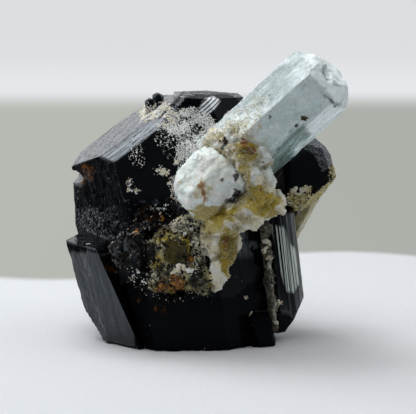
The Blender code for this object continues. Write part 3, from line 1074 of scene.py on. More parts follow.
class ScatterTree:
    """The Geometry Nodes tree that strews grains where a painted value asks for them."""

    NUMBERS = (("Density", "Float"), ("Smallest", "Float"), ("Largest", "Float"), ("Seed", "Int"))

    def __init__(self, name: str) -> None:
        """Starts the tree with its named inputs."""
        self.tree = bpy.data.node_groups.new(name, "GeometryNodeTree")
        sockets = self.tree.interface
        sockets.new_socket("Surface", in_out="INPUT", socket_type="NodeSocketGeometry")
        for label, kind in self.NUMBERS:
            sockets.new_socket(label, in_out="INPUT", socket_type="NodeSocket" + kind)
        sockets.new_socket("Grains", in_out="OUTPUT", socket_type="NodeSocketGeometry")
        self.start = self.add("NodeGroupInput", {}, {}).outputs

    def add(self, kind: str, settings: dict, inputs: dict) -> bpy.types.Node:
        """Adds a node.

        Args:
            kind: the node's type.
            settings: its properties.
            inputs: its inputs; one that is a socket is linked, and another is set.

        Returns:
            The node.
        """
        node = self.tree.nodes.new(kind)
        for key, value in settings.items():
            setattr(node, key, value)
        for key, value in inputs.items():
            if isinstance(value, bpy.types.NodeSocket):
                self.tree.links.new(value, node.inputs[key])
            else:
                node.inputs[key].default_value = value
        return node

    def points(self, attribute: str) -> bpy.types.Node:
        """The points where grains go, as dense as a painted value asks.

        Args:
            attribute: the value's name.

        Returns:
            The node that gives the points.
        """
        asked = self.add("GeometryNodeInputNamedAttribute", {"data_type": "FLOAT"}, {"Name": attribute})
        product = {0: asked.outputs["Attribute"], 1: self.start["Density"]}
        density = self.add("ShaderNodeMath", {"operation": "MULTIPLY"}, product).outputs[0]
        where = {"Mesh": self.start["Surface"], "Density": density, "Seed": self.start["Seed"]}
        return self.add("GeometryNodeDistributePointsOnFaces", {"distribute_method": "RANDOM"}, where)

    def chance(self, kind: str, inputs: dict) -> bpy.types.Node:
        """A random value for each grain."""
        return self.add("FunctionNodeRandomValue", {"data_type": kind}, inputs)

    def placed(self, points: bpy.types.Node, grains: bpy.types.Collection) -> bpy.types.Node:
        """Grains on the points, each turned and sized by chance.

        Args:
            points: the node that gives the points.
            grains: the grains to pick from.

        Returns:
            The node that places them.
        """
        most = Vector((math.pi, math.pi, 2 * math.pi))
        turn = self.chance("FLOAT_VECTOR", {"Min": -most, "Max": most, "Seed": self.start["Seed"]})
        turned = {0: points.outputs["Rotation"], 1: turn.outputs["Value"]}
        rotation = self.add("FunctionNodeRotateRotation", {"rotation_space": "LOCAL"}, turned)
        index = self.add("GeometryNodeInputIndex", {}, {}).outputs[0]
        sizes = {2: self.start["Smallest"], 3: self.start["Largest"], "ID": index}
        size = self.chance("FLOAT", sizes)
        apart = {"Collection": grains, "Separate Children": True, "Reset Children": True}
        picked = self.add("GeometryNodeCollectionInfo", {}, apart)
        return self.add("GeometryNodeInstanceOnPoints", {}, {
            "Points": points.outputs["Points"], "Instance": picked.outputs[0], "Pick Instance": True,
            "Rotation": rotation.outputs[0], "Scale": size.outputs[1],
        })

    def end(self, placed: bpy.types.Node, material: bpy.types.Material) -> bpy.types.NodeTree:
        """Gives each grain its tint and ends the tree.

        Args:
            placed: the node that places the grains.
            material: their material.

        Returns:
            The finished tree.
        """
        tint = self.chance("FLOAT", {2: 0.0, 3: 1.0, "Seed": 7}).outputs[1]
        stored = {"Geometry": placed.outputs[0], "Name": "tint", "Value": tint}
        kind = {"data_type": "FLOAT", "domain": "INSTANCE"}
        tinted = self.add("GeometryNodeStoreNamedAttribute", kind, stored)
        real = self.add("GeometryNodeRealizeInstances", {}, {0: tinted.outputs[0]})
        dressed = self.add(
            "GeometryNodeSetMaterial", {}, {"Geometry": real.outputs[0], "Material": material}
        )
        self.add("NodeGroupOutput", {}, {0: dressed.outputs[0]})
        return self.tree


@dataclass
class Scatter:
    """Grains strewn on a surface: how many a square millimetre, and their sizes in millimetres."""

    name: str
    attribute: str
    density: float
    smallest: float
    largest: float
    shape: GrainShape = GrainShape.GRAIN
    seed: int = 1
    kinds: int = 5

    def grains(self) -> bpy.types.Collection:
        """Makes the grains that it picks from.

        Returns:
            The grains, in a collection that isn't in the scene.
        """
        rng = np.random.default_rng(self.seed)
        found = bpy.data.collections.new(self.name + "_grains")
        for i in range(self.kinds):
            mesh = grain_mesh(self.shape, rng)
            found.objects.link(bpy.data.objects.new(f"{self.name}_grain_{i}", mesh))
        return found

    def strew(self, surface: bpy.types.Object, material: bpy.types.Material, slot: str) -> bpy.types.Object:
        """Strews the grains on a piece and makes them a piece of their own.

        Args:
            surface: the piece that carries them.
            material: their material.
            slot: the record's material slot.

        Returns:
            The grains.
        """
        grains = self.grains()
        builder = ScatterTree(self.name)
        tree = builder.end(builder.placed(builder.points(self.attribute), grains), material)
        holder = in_scene(self.name + "_holder", surface.data)
        modifier = holder.modifiers.new(self.name, "NODES")
        modifier.node_group = tree
        values = {
            "Density": self.density / MM**2, "Smallest": self.smallest * MM,
            "Largest": self.largest * MM, "Seed": self.seed,
        }
        for item in tree.interface.items_tree:
            if item.name in values:
                modifier[item.identifier] = values[item.name]
        mesh = plain_mesh(holder)
        for grain in list(grains.objects):
            bpy.data.objects.remove(grain)
        bpy.data.collections.remove(grains)
        return settle(in_scene(self.name, mesh), slot)


# Finishes

# The colours that several pieces share.
OLIVE, RUST, BLACK = (0.085, 0.068, 0.014), (0.30, 0.105, 0.012), (0.008, 0.008, 0.009)
CREAM, WHITE, PALE = (0.82, 0.77, 0.57), (0.88, 0.87, 0.82), (0.83, 0.88, 0.86)
OCHRE, YELLOW = (0.36, 0.26, 0.015), (0.56, 0.43, 0.05)


class SchorlTree(Nodes):
    """The node tree of black tourmaline, with the patterns that its shaders share."""

    def __init__(self, finish: "SchorlFinish") -> None:
        """Makes the patterns and reads the painted values."""
        super().__init__(finish.name)
        self.looks = finish
        self.lines = self.streaks(finish.axis, 7000, 160, 4, 0.6)
        self.bands = self.streaks(finish.axis, 1700, 40, 2, 0.5)
        self.broken, self.dusty = self.attribute("fracture"), self.attribute("dust")
        self.fine, self.coarse, self.speck = (
            self.noise(scale, 4, rough) for scale, rough in ((11000, 0.7), (1700, 0.6), (6500, 0.7))
        )
        mottle = (self.fine - 0.5) * 2.4 + (self.speck - 0.5) * 2.4 + (self.coarse - 0.5) * 1.2
        self.dust = ((self.dusty * 1.7 + mottle * 2.0 - 0.42) * self.dusty.step(0.0, 0.3)).clamp()
        # White chalk, and the painted glints on the dark buds, laid on where their value is painted.
        chalk_and_glint_cover = self.attribute("chalk")
        spotted = (self.coarse - 0.5) * 1.5 * chalk_and_glint_cover.step(0.0, 0.3)
        self.chalk = (chalk_and_glint_cover * 1.6 + spotted - 0.3).clamp()
        grain = (self.coarse * 0.6 + self.fine * 0.4).step(0.46, 0.60)
        self.rusty = (self.attribute("stain") * grain).clamp()

    def dirt_and_glints(self, colour: "Shade | tuple") -> Shade:
        """A colour under dust, chalk and painted glints."""
        return self.mix(self.chalk, self.mix(self.dust, colour, self.looks.dust), self.looks.chalk)

    def stripes(self) -> Shade:
        """The stripes of painted reflection on a face: straight rules if they are given, or else streaks.

        Returns:
            How lit each place is, 0 to 1.
        """
        if not self.looks.ruled:
            return self.streaks(self.looks.axis, 4200, 26, 2, 0.6).step(0.44, 0.54)
        product = {"operation": "DOT_PRODUCT"}
        across = self.make("ShaderNodeVectorMath", product, {0: self.place, 1: self.looks.ruled}, "Value")
        turns = 2 * math.pi / (self.looks.spacing * MM)
        wave = (across * turns + self.coarse * 1.5).sine()
        return (wave * 0.5 + 0.5).step(0.18, 0.42)

    def shiny(self) -> Shade:
        """Builds the look of the grown faces, glossy and grooved, with painted reflections and glints.

        Returns:
            The shader.
        """
        # Painted reflection: light stripes laid into the colour where they are asked for.
        lit = (self.attribute("silver") * self.stripes()).clamp()
        colour = self.mix(self.rusty, self.dirt_and_glints(self.looks.colour), self.looks.stain)
        colour = self.mix(lit, colour, self.looks.silver)
        rough = self.looks.gloss + (self.bands - 0.5) * 0.08
        rough = rough + (self.dust + self.chalk) * 0.4 + (self.fine - 0.5) * 0.06
        gritty = (self.fine + self.speck * 1.5) * self.dusty.step(0.0, 0.2) * 3.0
        grooves = self.bump(self.lines + self.bands * 0.6 + gritty, self.looks.groove * MM, 1.0)
        return self.surface(
            Base_Color=colour, Roughness=rough.clamp(), IOR=CRYSTAL_INDEX, Specular_Tint=self.looks.sheen,
            Normal=grooves
        )

    def dull(self) -> Shade:
        """Builds the look of the broken faces, dull, pitted and scratched, the scratches partly painted
        sparkle.

        Returns:
            The shader.
        """
        threads = self.streaks(self.looks.scratched, 6500, 900, 4, 0.65)
        # Light-grey fibrous flecks on the broken faces, partly painted sparkle.
        marks = self.attribute("scratch") * 0.85 + self.coarse.step(0.50, 0.66) * 0.16
        flecks = threads.step(0.51, 0.63) * marks
        colour = self.mix((flecks * self.broken).clamp(), self.looks.broken, self.looks.scratch)
        colour = self.mix(self.rusty, self.dirt_and_glints(colour), self.looks.stain)
        pits = self.bump(self.fine + self.coarse + threads * self.broken, self.looks.pitting * MM, 0.8)
        return self.surface(Base_Color=colour, Roughness=0.5, IOR=self.looks.dull_index, Normal=pits)


@dataclass(frozen=True)
class SchorlFinish:
    """Black tourmaline: glossy, grooved along its length, dull where it is broken or dusty.

    The depths of its grooves and pits and the spacing of its rules are in millimetres.
    """

    name: str
    axis: tuple
    gloss: float = 0.12
    groove: float = 0.008
    pitting: float = 0.05
    dull_index: float = 1.06
    colour: tuple = (0.0045, 0.005, 0.006)
    broken: tuple = (0.0018, 0.0022, 0.003)
    dust: tuple = (0.40, 0.405, 0.43)
    # The colour of the painted reflections.
    silver: tuple = (0.68, 0.76, 0.71)
    # The colour of the chalk and of the painted glints.
    chalk: tuple = (0.66, 0.63, 0.55)
    stain: tuple = (0.26, 0.10, 0.02)
    # The colour of the scratches, partly painted sparkle.
    scratch: tuple = (0.40, 0.42, 0.45)
    scratched: tuple = (0.55, 0.3, 0.8)
    sheen: tuple = (0.80, 0.91, 1.0, 1.0)
    # The direction and spacing of the rules of painted reflection, where it is ruled.
    ruled: tuple = ()
    spacing: float = 0.33

    def material(self) -> bpy.types.Material:
        """Builds the material. It reads fracture, the dull mask that paints shade, dust, chalk with
        painted glints, stain, painted reflection, and scratches that are partly painted sparkle.

        Returns:
            The material.
        """
        tree = SchorlTree(self)
        shiny, dull = tree.shiny(), tree.dull()
        # Painted shade: the dull shader also darkens the foot and the lower front.
        hidden = (tree.broken * 0.97 + tree.attribute("matt") + tree.rusty).clamp()
        return tree.finish(tree.mix_shaders(hidden, shiny, dull))


@dataclass(frozen=True)
class CrustFinish:
    """Chalky granular crust in two tones, darker in its hollows with painted shade, and stained where it is
    painted.
    """

    name: str
    colour: tuple
    other: tuple
    # The colour of the painted shade in the hollows.
    hollow: tuple
    stains: tuple = ()
    pepper: float = 0.0
    rough: float = 0.7
    relief: float = 0.05
    soft: float = 0.1
    dots: tuple = (0.008, 0.009, 0.01)

    def material(self) -> bpy.types.Material:
        """Builds the material. It reads hollow, for painted shade, tint, pepper and one value for each
        stain.

        Returns:
            The material.
        """
        nodes = Nodes(self.name)
        coarse, fine = nodes.noise(1100, 4, 0.6), nodes.noise(5600, 5, 0.68)
        speckle = nodes.noise(3300, 4, 0.6)
        uneven = (fine - 0.5) * 2.6 + (coarse - 0.5) * 2.2
        colour = nodes.mix(coarse.step(0.42, 0.60), self.colour, self.other)
        for attribute, tone in self.stains:
            share = nodes.attribute(attribute)
            cover = ((share * 2.2 - 0.55 + uneven) * share.step(0.0, 0.25)).clamp()
            colour = nodes.mix(cover, colour, tone)
        # Painted shade: darker in the hollows.
        colour = nodes.mix((nodes.attribute("hollow") * (fine * 1.3 - 0.05)).clamp(), colour, self.hollow)
        colour = nodes.mix(nodes.attribute("tint") * 0.35, colour, self.other)
        if self.pepper:
            strewn = speckle.step(0.50, 0.57) * self.pepper
            colour = nodes.mix(strewn * nodes.attribute("pepper"), colour, self.dots)
        bump = nodes.bump(fine + coarse * 0.5 + speckle * 0.5, self.relief * MM, 0.9)
        return nodes.finish(nodes.surface(
            Base_Color=colour, Roughness=self.rough, Subsurface_Weight=self.soft,
            Subsurface_Radius=(1.0, 0.8, 0.55), Subsurface_Scale=0.3 * MM,
            Specular_IOR_Level=0.2, Normal=bump
        ))


@dataclass(frozen=True)
class GrainFinish:
    """Loose grains in several tones, each grain taking one by chance."""

    name: str
    tones: tuple
    shine: float = 0.25
    rough: float = 0.55
    soft: float = 0.15

    def material(self) -> bpy.types.Material:
        """Builds the material. It reads tint.

        Returns:
            The material.
        """
        nodes = Nodes(self.name)
        stops = [(i / len(self.tones), tone) for i, tone in enumerate(self.tones)]
        colour = nodes.make("ShaderNodeValToRGB", {"stops": stops}, {"Fac": nodes.attribute("tint")})
        return nodes.finish(nodes.surface(
            Base_Color=colour, Roughness=self.rough, Subsurface_Weight=self.soft,
            Subsurface_Radius=(1.0, 0.9, 0.7), Subsurface_Scale=0.2 * MM,
            Specular_IOR_Level=self.shine
        ))


@dataclass(frozen=True)
class BerylFinish:
    """Aquamarine: clear, pale blue, with a worn and streaked skin, and painted shade on some faces."""

    name: str
    axis: tuple
    colour: tuple = (0.91, 0.985, 0.99)
    frosted: tuple = (0.89, 0.975, 0.98)
    absorbed: tuple = (0.20, 0.80, 0.85)
    yellow: tuple = (0.78, 0.74, 0.50)
    # The colour of the painted shade on some faces.
    deep: tuple = (0.22, 0.30, 0.27)
    pit: tuple = (0.03, 0.045, 0.05)
    stain: tuple = (0.10, 0.055, 0.02)
    density: float = 45.0
    rough: float = 0.10
    wear: float = 0.045
    clear: float = 0.57

    def material(self) -> bpy.types.Material:
        """Builds the material. It reads frost, yellow, the painted shade of some faces, pit and stain.

        Returns:
            The material.
        """
        nodes = Nodes(self.name)
        worn, fine = nodes.noise(1400, 5, 0.62), nodes.noise(7000, 4, 0.6)
        streaks = nodes.streaks(self.axis, 2600, 300, 4, 0.6)
        frost = nodes.attribute("frost")
        wisps = 1 - nodes.cell_edges(1500).step(0.0, 0.05)
        threads = streaks.step(0.54, 0.66) * 0.5 + wisps * nodes.noise(500).step(0.45, 0.6) * 0.45
        cloudy = (worn.step(0.48, 0.66) * 0.6 + frost + threads).clamp()
        colour = nodes.mix(cloudy, self.colour, self.frosted)
        # The yellow coat, painted shade on some faces, pits and stains.
        tones = {"yellow": self.yellow, "deep": self.deep, "pit": self.pit, "stain": self.stain}
        for name, tone in tones.items():
            colour = nodes.mix(nodes.attribute(name), colour, tone)
        rough = self.rough + cloudy * 0.24 + nodes.attribute("stain") * 0.4 + streaks.step(0.5, 0.7) * 0.10
        bump = nodes.bump(worn + fine * 0.3 + streaks * 0.5, self.wear * MM, 0.7)
        glass = nodes.surface(
            Base_Color=colour, Roughness=rough.clamp(), IOR=CRYSTAL_INDEX, Transmission_Weight=self.clear,
            Normal=bump
        )
        milk = nodes.surface(Base_Color=colour, Roughness=0.42, Normal=bump)
        mottle = nodes.noise(1500, 6, 0.7).step(0.46, 0.62) * 0.45
        skin = nodes.mix_shaders((frost * 0.75 + threads * 0.25 + mottle).clamp(), glass, milk)
        inner = {"Color": (*self.absorbed, 1), "Density": self.density}
        return nodes.finish(skin, nodes.make("ShaderNodeVolumeAbsorption", {}, inner))


@dataclass(frozen=True)
class VeilFinish:
    """Healed cracks inside the clear crystal: white films with holes."""

    name: str
    colour: tuple = (0.92, 0.96, 0.96)

    def material(self) -> bpy.types.Material:
        """Builds the material. It reads fade.

        Returns:
            The material.
        """
        nodes = Nodes(self.name)
        blots = nodes.noise(1300, 5, 0.65).step(0.46, 0.68)
        dots = nodes.noise(8000, 2).step(0.5, 0.66)
        share = (blots * (dots * 0.6 + 0.3) * nodes.attribute("fade")).clamp() * 0.9
        return nodes.finish(nodes.surface(Base_Color=self.colour, Roughness=0.35, Alpha=share))


# Pieces


class Sight:
    """Finds the point of some pieces that a pixel of the photograph shows."""

    def __init__(self, *pieces: bpy.types.Object) -> None:
        """Reads the pieces."""
        self.trees = []
        for piece in pieces:
            points = [v.co for v in piece.data.vertices]
            faces = [tuple(f.vertices) for f in piece.data.polygons]
            self.trees.append(BVHTree.FromPolygons(points, faces))

    def spot(self, x: float, y: float) -> tuple:
        """The nearest point at a pixel.

        Args:
            x: the pixel's column.
            y: the pixel's row.

        Returns:
            The point and the surface's normal there, or None twice.
        """
        hits = [tree.ray_cast(*VIEW.ray(x, y)) for tree in self.trees]
        hits = [hit for hit in hits if hit[0] is not None]
        if not hits:
            return None, None
        return min(hits, key=lambda hit: hit[3])[:2]


@dataclass
class Nuggets:
    """Single lumps at places that the photograph shows: (x, y, radius) in its pixels.

    The spread of a lump's parts, for each pixel of its radius, and the size of a pixel are in
    millimetres.
    """

    name: str
    slot: str
    finish: GrainFinish
    places: tuple
    seed: int = 1
    rough: float = 0.35
    parts: int = 7
    spread: float = 0.055
    pixel: float = 0.104

    def part(
        self, made: bmesh.types.BMesh, centre: Vector, normal: Vector, radius: float, seed: int
    ) -> None:
        """Adds one uneven part of a lump, a little sunk into the surface.

        Args:
            made: the mesh that it is added to.
            centre: its place.
            normal: the surface's normal there.
            radius: its radius.
            seed: picks its shape and its tint.
        """
        ball = bmesh.new()
        bmesh.ops.create_icosphere(ball, subdivisions=2, radius=1.0)
        points = np.array([v.co for v in ball.verts])
        swell = 1 + fractal(points, 0.8, 3, seed) * self.rough
        swell = swell + plates(points, 0.5, seed + 3) * self.rough * 1.5
        turn = turn_to(normal).to_matrix()
        layer = made.verts.layers.float["tint"]
        found = []
        for vert, share in zip(ball.verts, swell):
            local = Vector(vert.co) * float(share)
            local.z *= 0.75
            new = made.verts.new(centre + turn @ local * radius - normal * radius * 0.25)
            new[layer] = (seed * 0.37) % 1.0
            found.append(new)
        for face in ball.faces:
            made.faces.new([found[v.index] for v in face.verts])
        ball.free()

    def make(self, sight: Sight) -> bpy.types.Object:
        """Sets all the lumps on the pieces that are seen at their places.

        Args:
            sight: finds those places.

        Returns:
            The lumps.
        """
        rng = np.random.default_rng(self.seed)
        made = bmesh.new()
        made.verts.layers.float.new("tint")
        for i, (x, y, radius) in enumerate(self.places):
            point, normal = sight.spot(x, y)
            if point is None:
                continue
            for k in range(self.parts):
                gap = Vector(rng.normal(size=3)) * radius * self.spread * MM
                gap -= normal * gap.dot(normal)
                size = radius * self.pixel * MM * rng.uniform(0.25, 0.6)
                self.part(made, point + gap, normal, size, self.seed + i * self.parts + k)
        bmesh.ops.recalc_face_normals(made, faces=made.faces)
        mesh = mesh_of(made, self.name)
        mesh.shade_smooth()
        mesh.set_sharp_from_angle(angle=math.radians(35))
        mesh.materials.append(self.finish.material())
        return settle(in_scene(self.name, mesh), self.slot)


@dataclass
class Body:
    """The tourmaline's body: its crest, blade, pocket and buds, and the grains on it."""

    fineness: Fineness = Fineness(0.165 * MM, tuple(BODY_AXIS), stretch=3.0, behind=1.8)
    roof: tuple = (-0.57, -0.08, 0.82)
    ledge: tuple = (-0.49, -0.37, 0.79)
    broken: tuple = (-0.86, -0.50, -0.11)
    broken_above: float = 252
    step_axis: tuple = (0.79, 0.18, 0.575)
    splinter_axis: tuple = (0.2, 0.3, 1)
    # The colour of the painted reflection on the ledge and the crest's facet, and the direction of its
    # rules.
    silver: tuple = (0.80, 0.83, 0.87)
    ruled: tuple = (0.66, 0.0, -0.75)
    grooves: Relief = Relief(0.9, 0.030, 4, 1)
    terraces: Relief = Relief(2.6, 0.02, 2, 2, steps=3)
    splinters: Relief = Relief(1.6, 0.34, 5, 3)
    chips: Plates = Plates(0.7, 0.36, 4)
    worn_plates: Plates = Plates(1.3, 0.05, 6)
    worn: Relief = Relief(0.8, 0.02, 3, 7)
    steps: Relief = Relief(0.45, 0.016, 3, 8, steps=4)
    deeper_behind: float = 0.8
    sunk: float = 0.12
    roof_dust: float = 0.21
    strip_dust: float = 0.6
    ledge_dust: float = 0.03
    rim_dust: float = 0.36
    rear_dust: float = 0.35
    # How much painted reflection the ledge gets.
    ledge_sheen: float = 0.10
    # How much painted shade, dull and black, the foot and the lower front get.
    foot_shade: float = 0.9
    lower_shade: float = 0.85

    def shape(self) -> tuple:
        """The solid with striations, terraces, plates and fracture relief.

        Returns:
            The surface, and how far each of its points lies on a broken face.
        """
        made = Surface("schorl_block", self.fineness)
        points, normals, front = made.points, made.normals, made.front()
        side = ease(1 - np.abs(normals @ np.array(BODY_AXIS)), 0.55, 0.9)
        left = facing(normals, self.broken, 0.95) * (VIEW.pixels(points)[:, 1] < self.broken_above)
        underneath = ease(-normals[:, 2], 0.1, 0.4)
        broken = np.maximum.reduce([left, underneath, region(points, SHELF, 3, 6) * front])
        lines = along(points, BODY_AXIS, 0.03)
        grooves = self.grooves.at(lines) + self.terraces.at(lines)
        grooves = grooves * (1 + (1 - front) * self.deeper_behind)
        rugged = self.splinters.at(along(points, self.splinter_axis, 0.45)) + self.chips.at(points)
        worn = self.worn_plates.at(points) + self.worn.at(points)
        cut = facing(normals, self.ledge, 0.97) * self.steps.at(along(points, self.step_axis, 0.05))
        grown = side * grooves + (1 - side) * worn + cut
        made.push(grown * (1 - broken) + broken * (rugged - self.sunk))
        return made, broken

    def paint_skin(self, made: Surface, broken: np.ndarray) -> None:
        """Paints the values that the body's material reads.

        Args:
            made: the surface.
            broken: how far each of its points lies on a broken face.
        """
        points, normals, front = made.points, made.normals, made.front()
        # Painted reflection: the crest's striped facet, and a little on the ledge.
        facet = region(points, CREST_FACET, 0.8, 0.5) * front
        ledge = facing(normals, self.ledge, 0.95)
        dust = self.roof_cover(made) * self.roof_dust
        dust = dust + region(points, CREST_STRIP, 1.5, 2) * self.strip_dust + ledge * self.ledge_dust
        dust = dust + region(points, CREST_RIM, 1.0, 1) * self.rim_dust
        dust = dust + ease(normals[:, 2], 0.35, 0.8) * (1 - front) * self.rear_dust
        # Painted glints on the dark buds, laid on with the chalk.
        glints = painted(points, GLINTS, 0.3, 0.3) * front
        # Painted shade: on the front, the foot and the lowest part are made dull black, except the blade's
        # face; the crest's top is made dull as well.
        cap = region(points, CREST_TOP, 1.5, 0.5) * 0.9 * (1 - facet)
        foot = region(points, FOOT, 3, 3) * front
        below = ease(VIEW.pixels(points)[:, 1], 250, 262) * front
        away = region(points, BLADE_FACE, 1.5, 0)
        made.paint("fracture", broken)
        made.paint("dust", np.clip(dust, 0, 1))
        made.paint("chalk", np.maximum(self.patch_cover(points) * 0.2, glints))
        # Scratches on the broken faces, partly painted sparkle.
        made.paint("scratch", painted(points, SCRATCHES_AND_SPARKLE) * front)
        made.paint("silver", np.maximum(facet, ledge * self.ledge_sheen))
        made.paint("stain", painted(points, STAINS) * front)
        matt = (foot * self.foot_shade + below * self.lower_shade) * (1 - away) + cap
        made.paint("matt", np.clip(matt, 0, 0.95))

    def paint_grains(self, made: Surface, broken: np.ndarray) -> None:
        """Paints the values that the body's grains read.

        Args:
            made: the surface.
            broken: how far each of its points lies on a broken face.
        """
        points, front = made.points, made.front()
        frost = region(points, FROST, 3, 4) * Clumps(1.6, -0.2, 0.2, 18, least=0.25).at(points)
        flecked = np.maximum(frost, painted(points, FLECKS))
        rim = region(points, POCKET_RIM, 3, 5) * front
        specks = self.roof_cover(made) * 0.8 + region(points, CREST_STRIP, 1.5, 2) * 0.9
        specks = specks + 0.010 + (1 - front) * 0.02
        foot = region(points, FOOT, 3, 3) * front
        made.paint("frost", flecked * Clumps(0.55, -0.25, 0.15, 9, least=0.35).at(points) * front)
        made.paint("snow", painted(points, SNOW, 0.5, 0.6) * front)
        made.paint("buds", painted(points, BUDS) * front)
        made.paint("patch", self.patch_cover(points) * front)
        made.paint("rim", rim * Clumps(0.9, -0.1, 0.3, 19, least=0.25).at(points))
        made.paint("specks", specks * ease(made.normals[:, 2], -0.2, 0.1))
        made.paint("dusting", foot * 0.01 + broken * front * 0.25)

    def roof_cover(self, made: Surface) -> np.ndarray:
        """How far each point of the surface lies on the crest's roof."""
        return region(made.points, ROOF, 1.5, 0) * facing(made.normals, self.roof, 0.9)

    @staticmethod
    def patch_cover(points: np.ndarray) -> np.ndarray:
        """How far each point lies in the crusted patch by the knobs."""
        return region(points, PATCH_CRUST, 2, 5) * Clumps(0.7, -0.2, 0.12, 17).at(points)

    def make(self) -> bpy.types.Object:
        """Builds the body with its grains.

        Returns:
            The body.
        """
        made, broken = self.shape()
        self.paint_skin(made, broken)
        self.paint_grains(made, broken)
        finish = SchorlFinish("schorl", tuple(BODY_AXIS), silver=self.silver, ruled=self.ruled)
        body = made.object("body", finish.material(), "schorl")
        for grain, slot, scatters in self.grains():
            material = grain.material()
            for scatter in scatters:
                scatter.strew(body, material, slot)
        return body

    @staticmethod
    def grains() -> tuple:
        """Lists the body's grains.

        Returns:
            Each finish with its slot and the scatters that wear it.
        """
        white = ((0.90, 0.90, 0.88), (0.80, 0.79, 0.73), (0.92, 0.92, 0.92))
        cream = ((0.84, 0.83, 0.78), (0.66, 0.55, 0.28), (0.88, 0.88, 0.86), (0.82, 0.82, 0.80))
        grey = ((0.62, 0.62, 0.63), (0.5, 0.5, 0.52), (0.75, 0.74, 0.7))
        dark = ((0.01, 0.01, 0.012), (0.02, 0.018, 0.015))
        pale = ((0.74, 0.71, 0.62), (0.5, 0.44, 0.28), (0.8, 0.78, 0.72))
        crystal = GrainShape.CRYSTAL
        return (
            (GrainFinish("frost_white", white, soft=0.0), "druse", (
                Scatter("frost", "frost", 110, 0.06, 0.19, seed=3),
                Scatter("frost_coarse", "frost", 8.0, 0.18, 0.34, seed=4),
                Scatter("snow", "snow", 150, 0.08, 0.26, seed=14),
            )),
            (GrainFinish("patch_cream", cream), "druse", (
                Scatter("patch_crust", "patch", 110, 0.07, 0.34, seed=5),
            )),
            (GrainFinish("specks", grey), "druse", (
                Scatter("specks", "specks", 9, 0.05, 0.12, seed=6),
                Scatter("dusting", "dusting", 7, 0.03, 0.09, seed=7),
            )),
            (GrainFinish("dark_grains", dark, shine=0.5, rough=0.12, soft=0.0), "schorl", (
                Scatter("rim_dark", "rim", 9, 0.2, 0.5, crystal, seed=8),
                Scatter("buds", "buds", 3.0, 0.45, 1.0, crystal, seed=16),
            )),
            (GrainFinish("rim_pale", pale), "druse", (
                Scatter("rim_pale", "rim", 8, 0.07, 0.26, seed=9),
            )),
        )


@dataclass
class Shaft:
    """A smaller tourmaline crystal, grooved along its own axis."""

    node: str
    name: str
    axis: tuple
    edge: float = 0.09
    stretch: float = 7.0
    width: float = 0.5
    depth: float = 0.05
    broken: float = 0.8
    crusted: bool = False
    splinters: Relief = Relief(0.9, 0.09, 5, 13)
    chips: Plates = Plates(0.6, 0.12, 14)

    def make(self) -> bpy.types.Object:
        """Builds the crystal.

        Returns:
            The crystal.
        """
        made = Surface(self.node, Fineness(self.edge * MM, self.axis, self.stretch))
        side = ease(1 - np.abs(made.normals @ unit(self.axis)), 0.5, 0.9)
        lines = along(made.points, self.axis, 0.02)
        grooves = Relief(self.width, self.depth, 4, 11).at(lines)
        grooves = grooves + Relief(1.6, self.depth * 0.5, 2, 12, steps=3).at(lines)
        ends = self.splinters.at(made.points) + self.chips.at(made.points)
        made.push(side * grooves + (1 - side) * ends * self.broken)
        made.paint("fracture", (1 - side) * self.broken)
        # Per area: dust on the stub's bevel that also paints its sheen, the stub's root made dull and
        # black, painted reflection in stripes on the column, and the stub's crust.
        for name, area, soft, wobble, weight in (
            ("dust", STUB_BEVEL, 1, 0.5, 0.25), ("matt", STUB_ROOT, 2, 1, 0.9),
            ("silver", REFLECTION_STRIPES, 1, 0.5, 1), ("stain", STUB_CRUST, 1.5, 2, 0.5),
            ("crust", STUB_CRUST, 1.5, 2.5, 1),
        ):
            made.paint(name, region(made.points, area, soft, wobble) * made.front() * weight)
        finish = SchorlFinish(self.name + "_schorl", self.axis, gloss=0.14, groove=0.012)
        shaft = made.object(self.name, finish.material(), "schorl")
        if self.crusted:
            tones = ((0.62, 0.56, 0.25), (0.72, 0.68, 0.46), (0.50, 0.42, 0.13))
            grains = Scatter(self.name + "_crust", "crust", 44, 0.10, 0.34, seed=15)
            grains.strew(shaft, GrainFinish(self.name + "_tan", tones).material(), "feldspar")
        return shaft


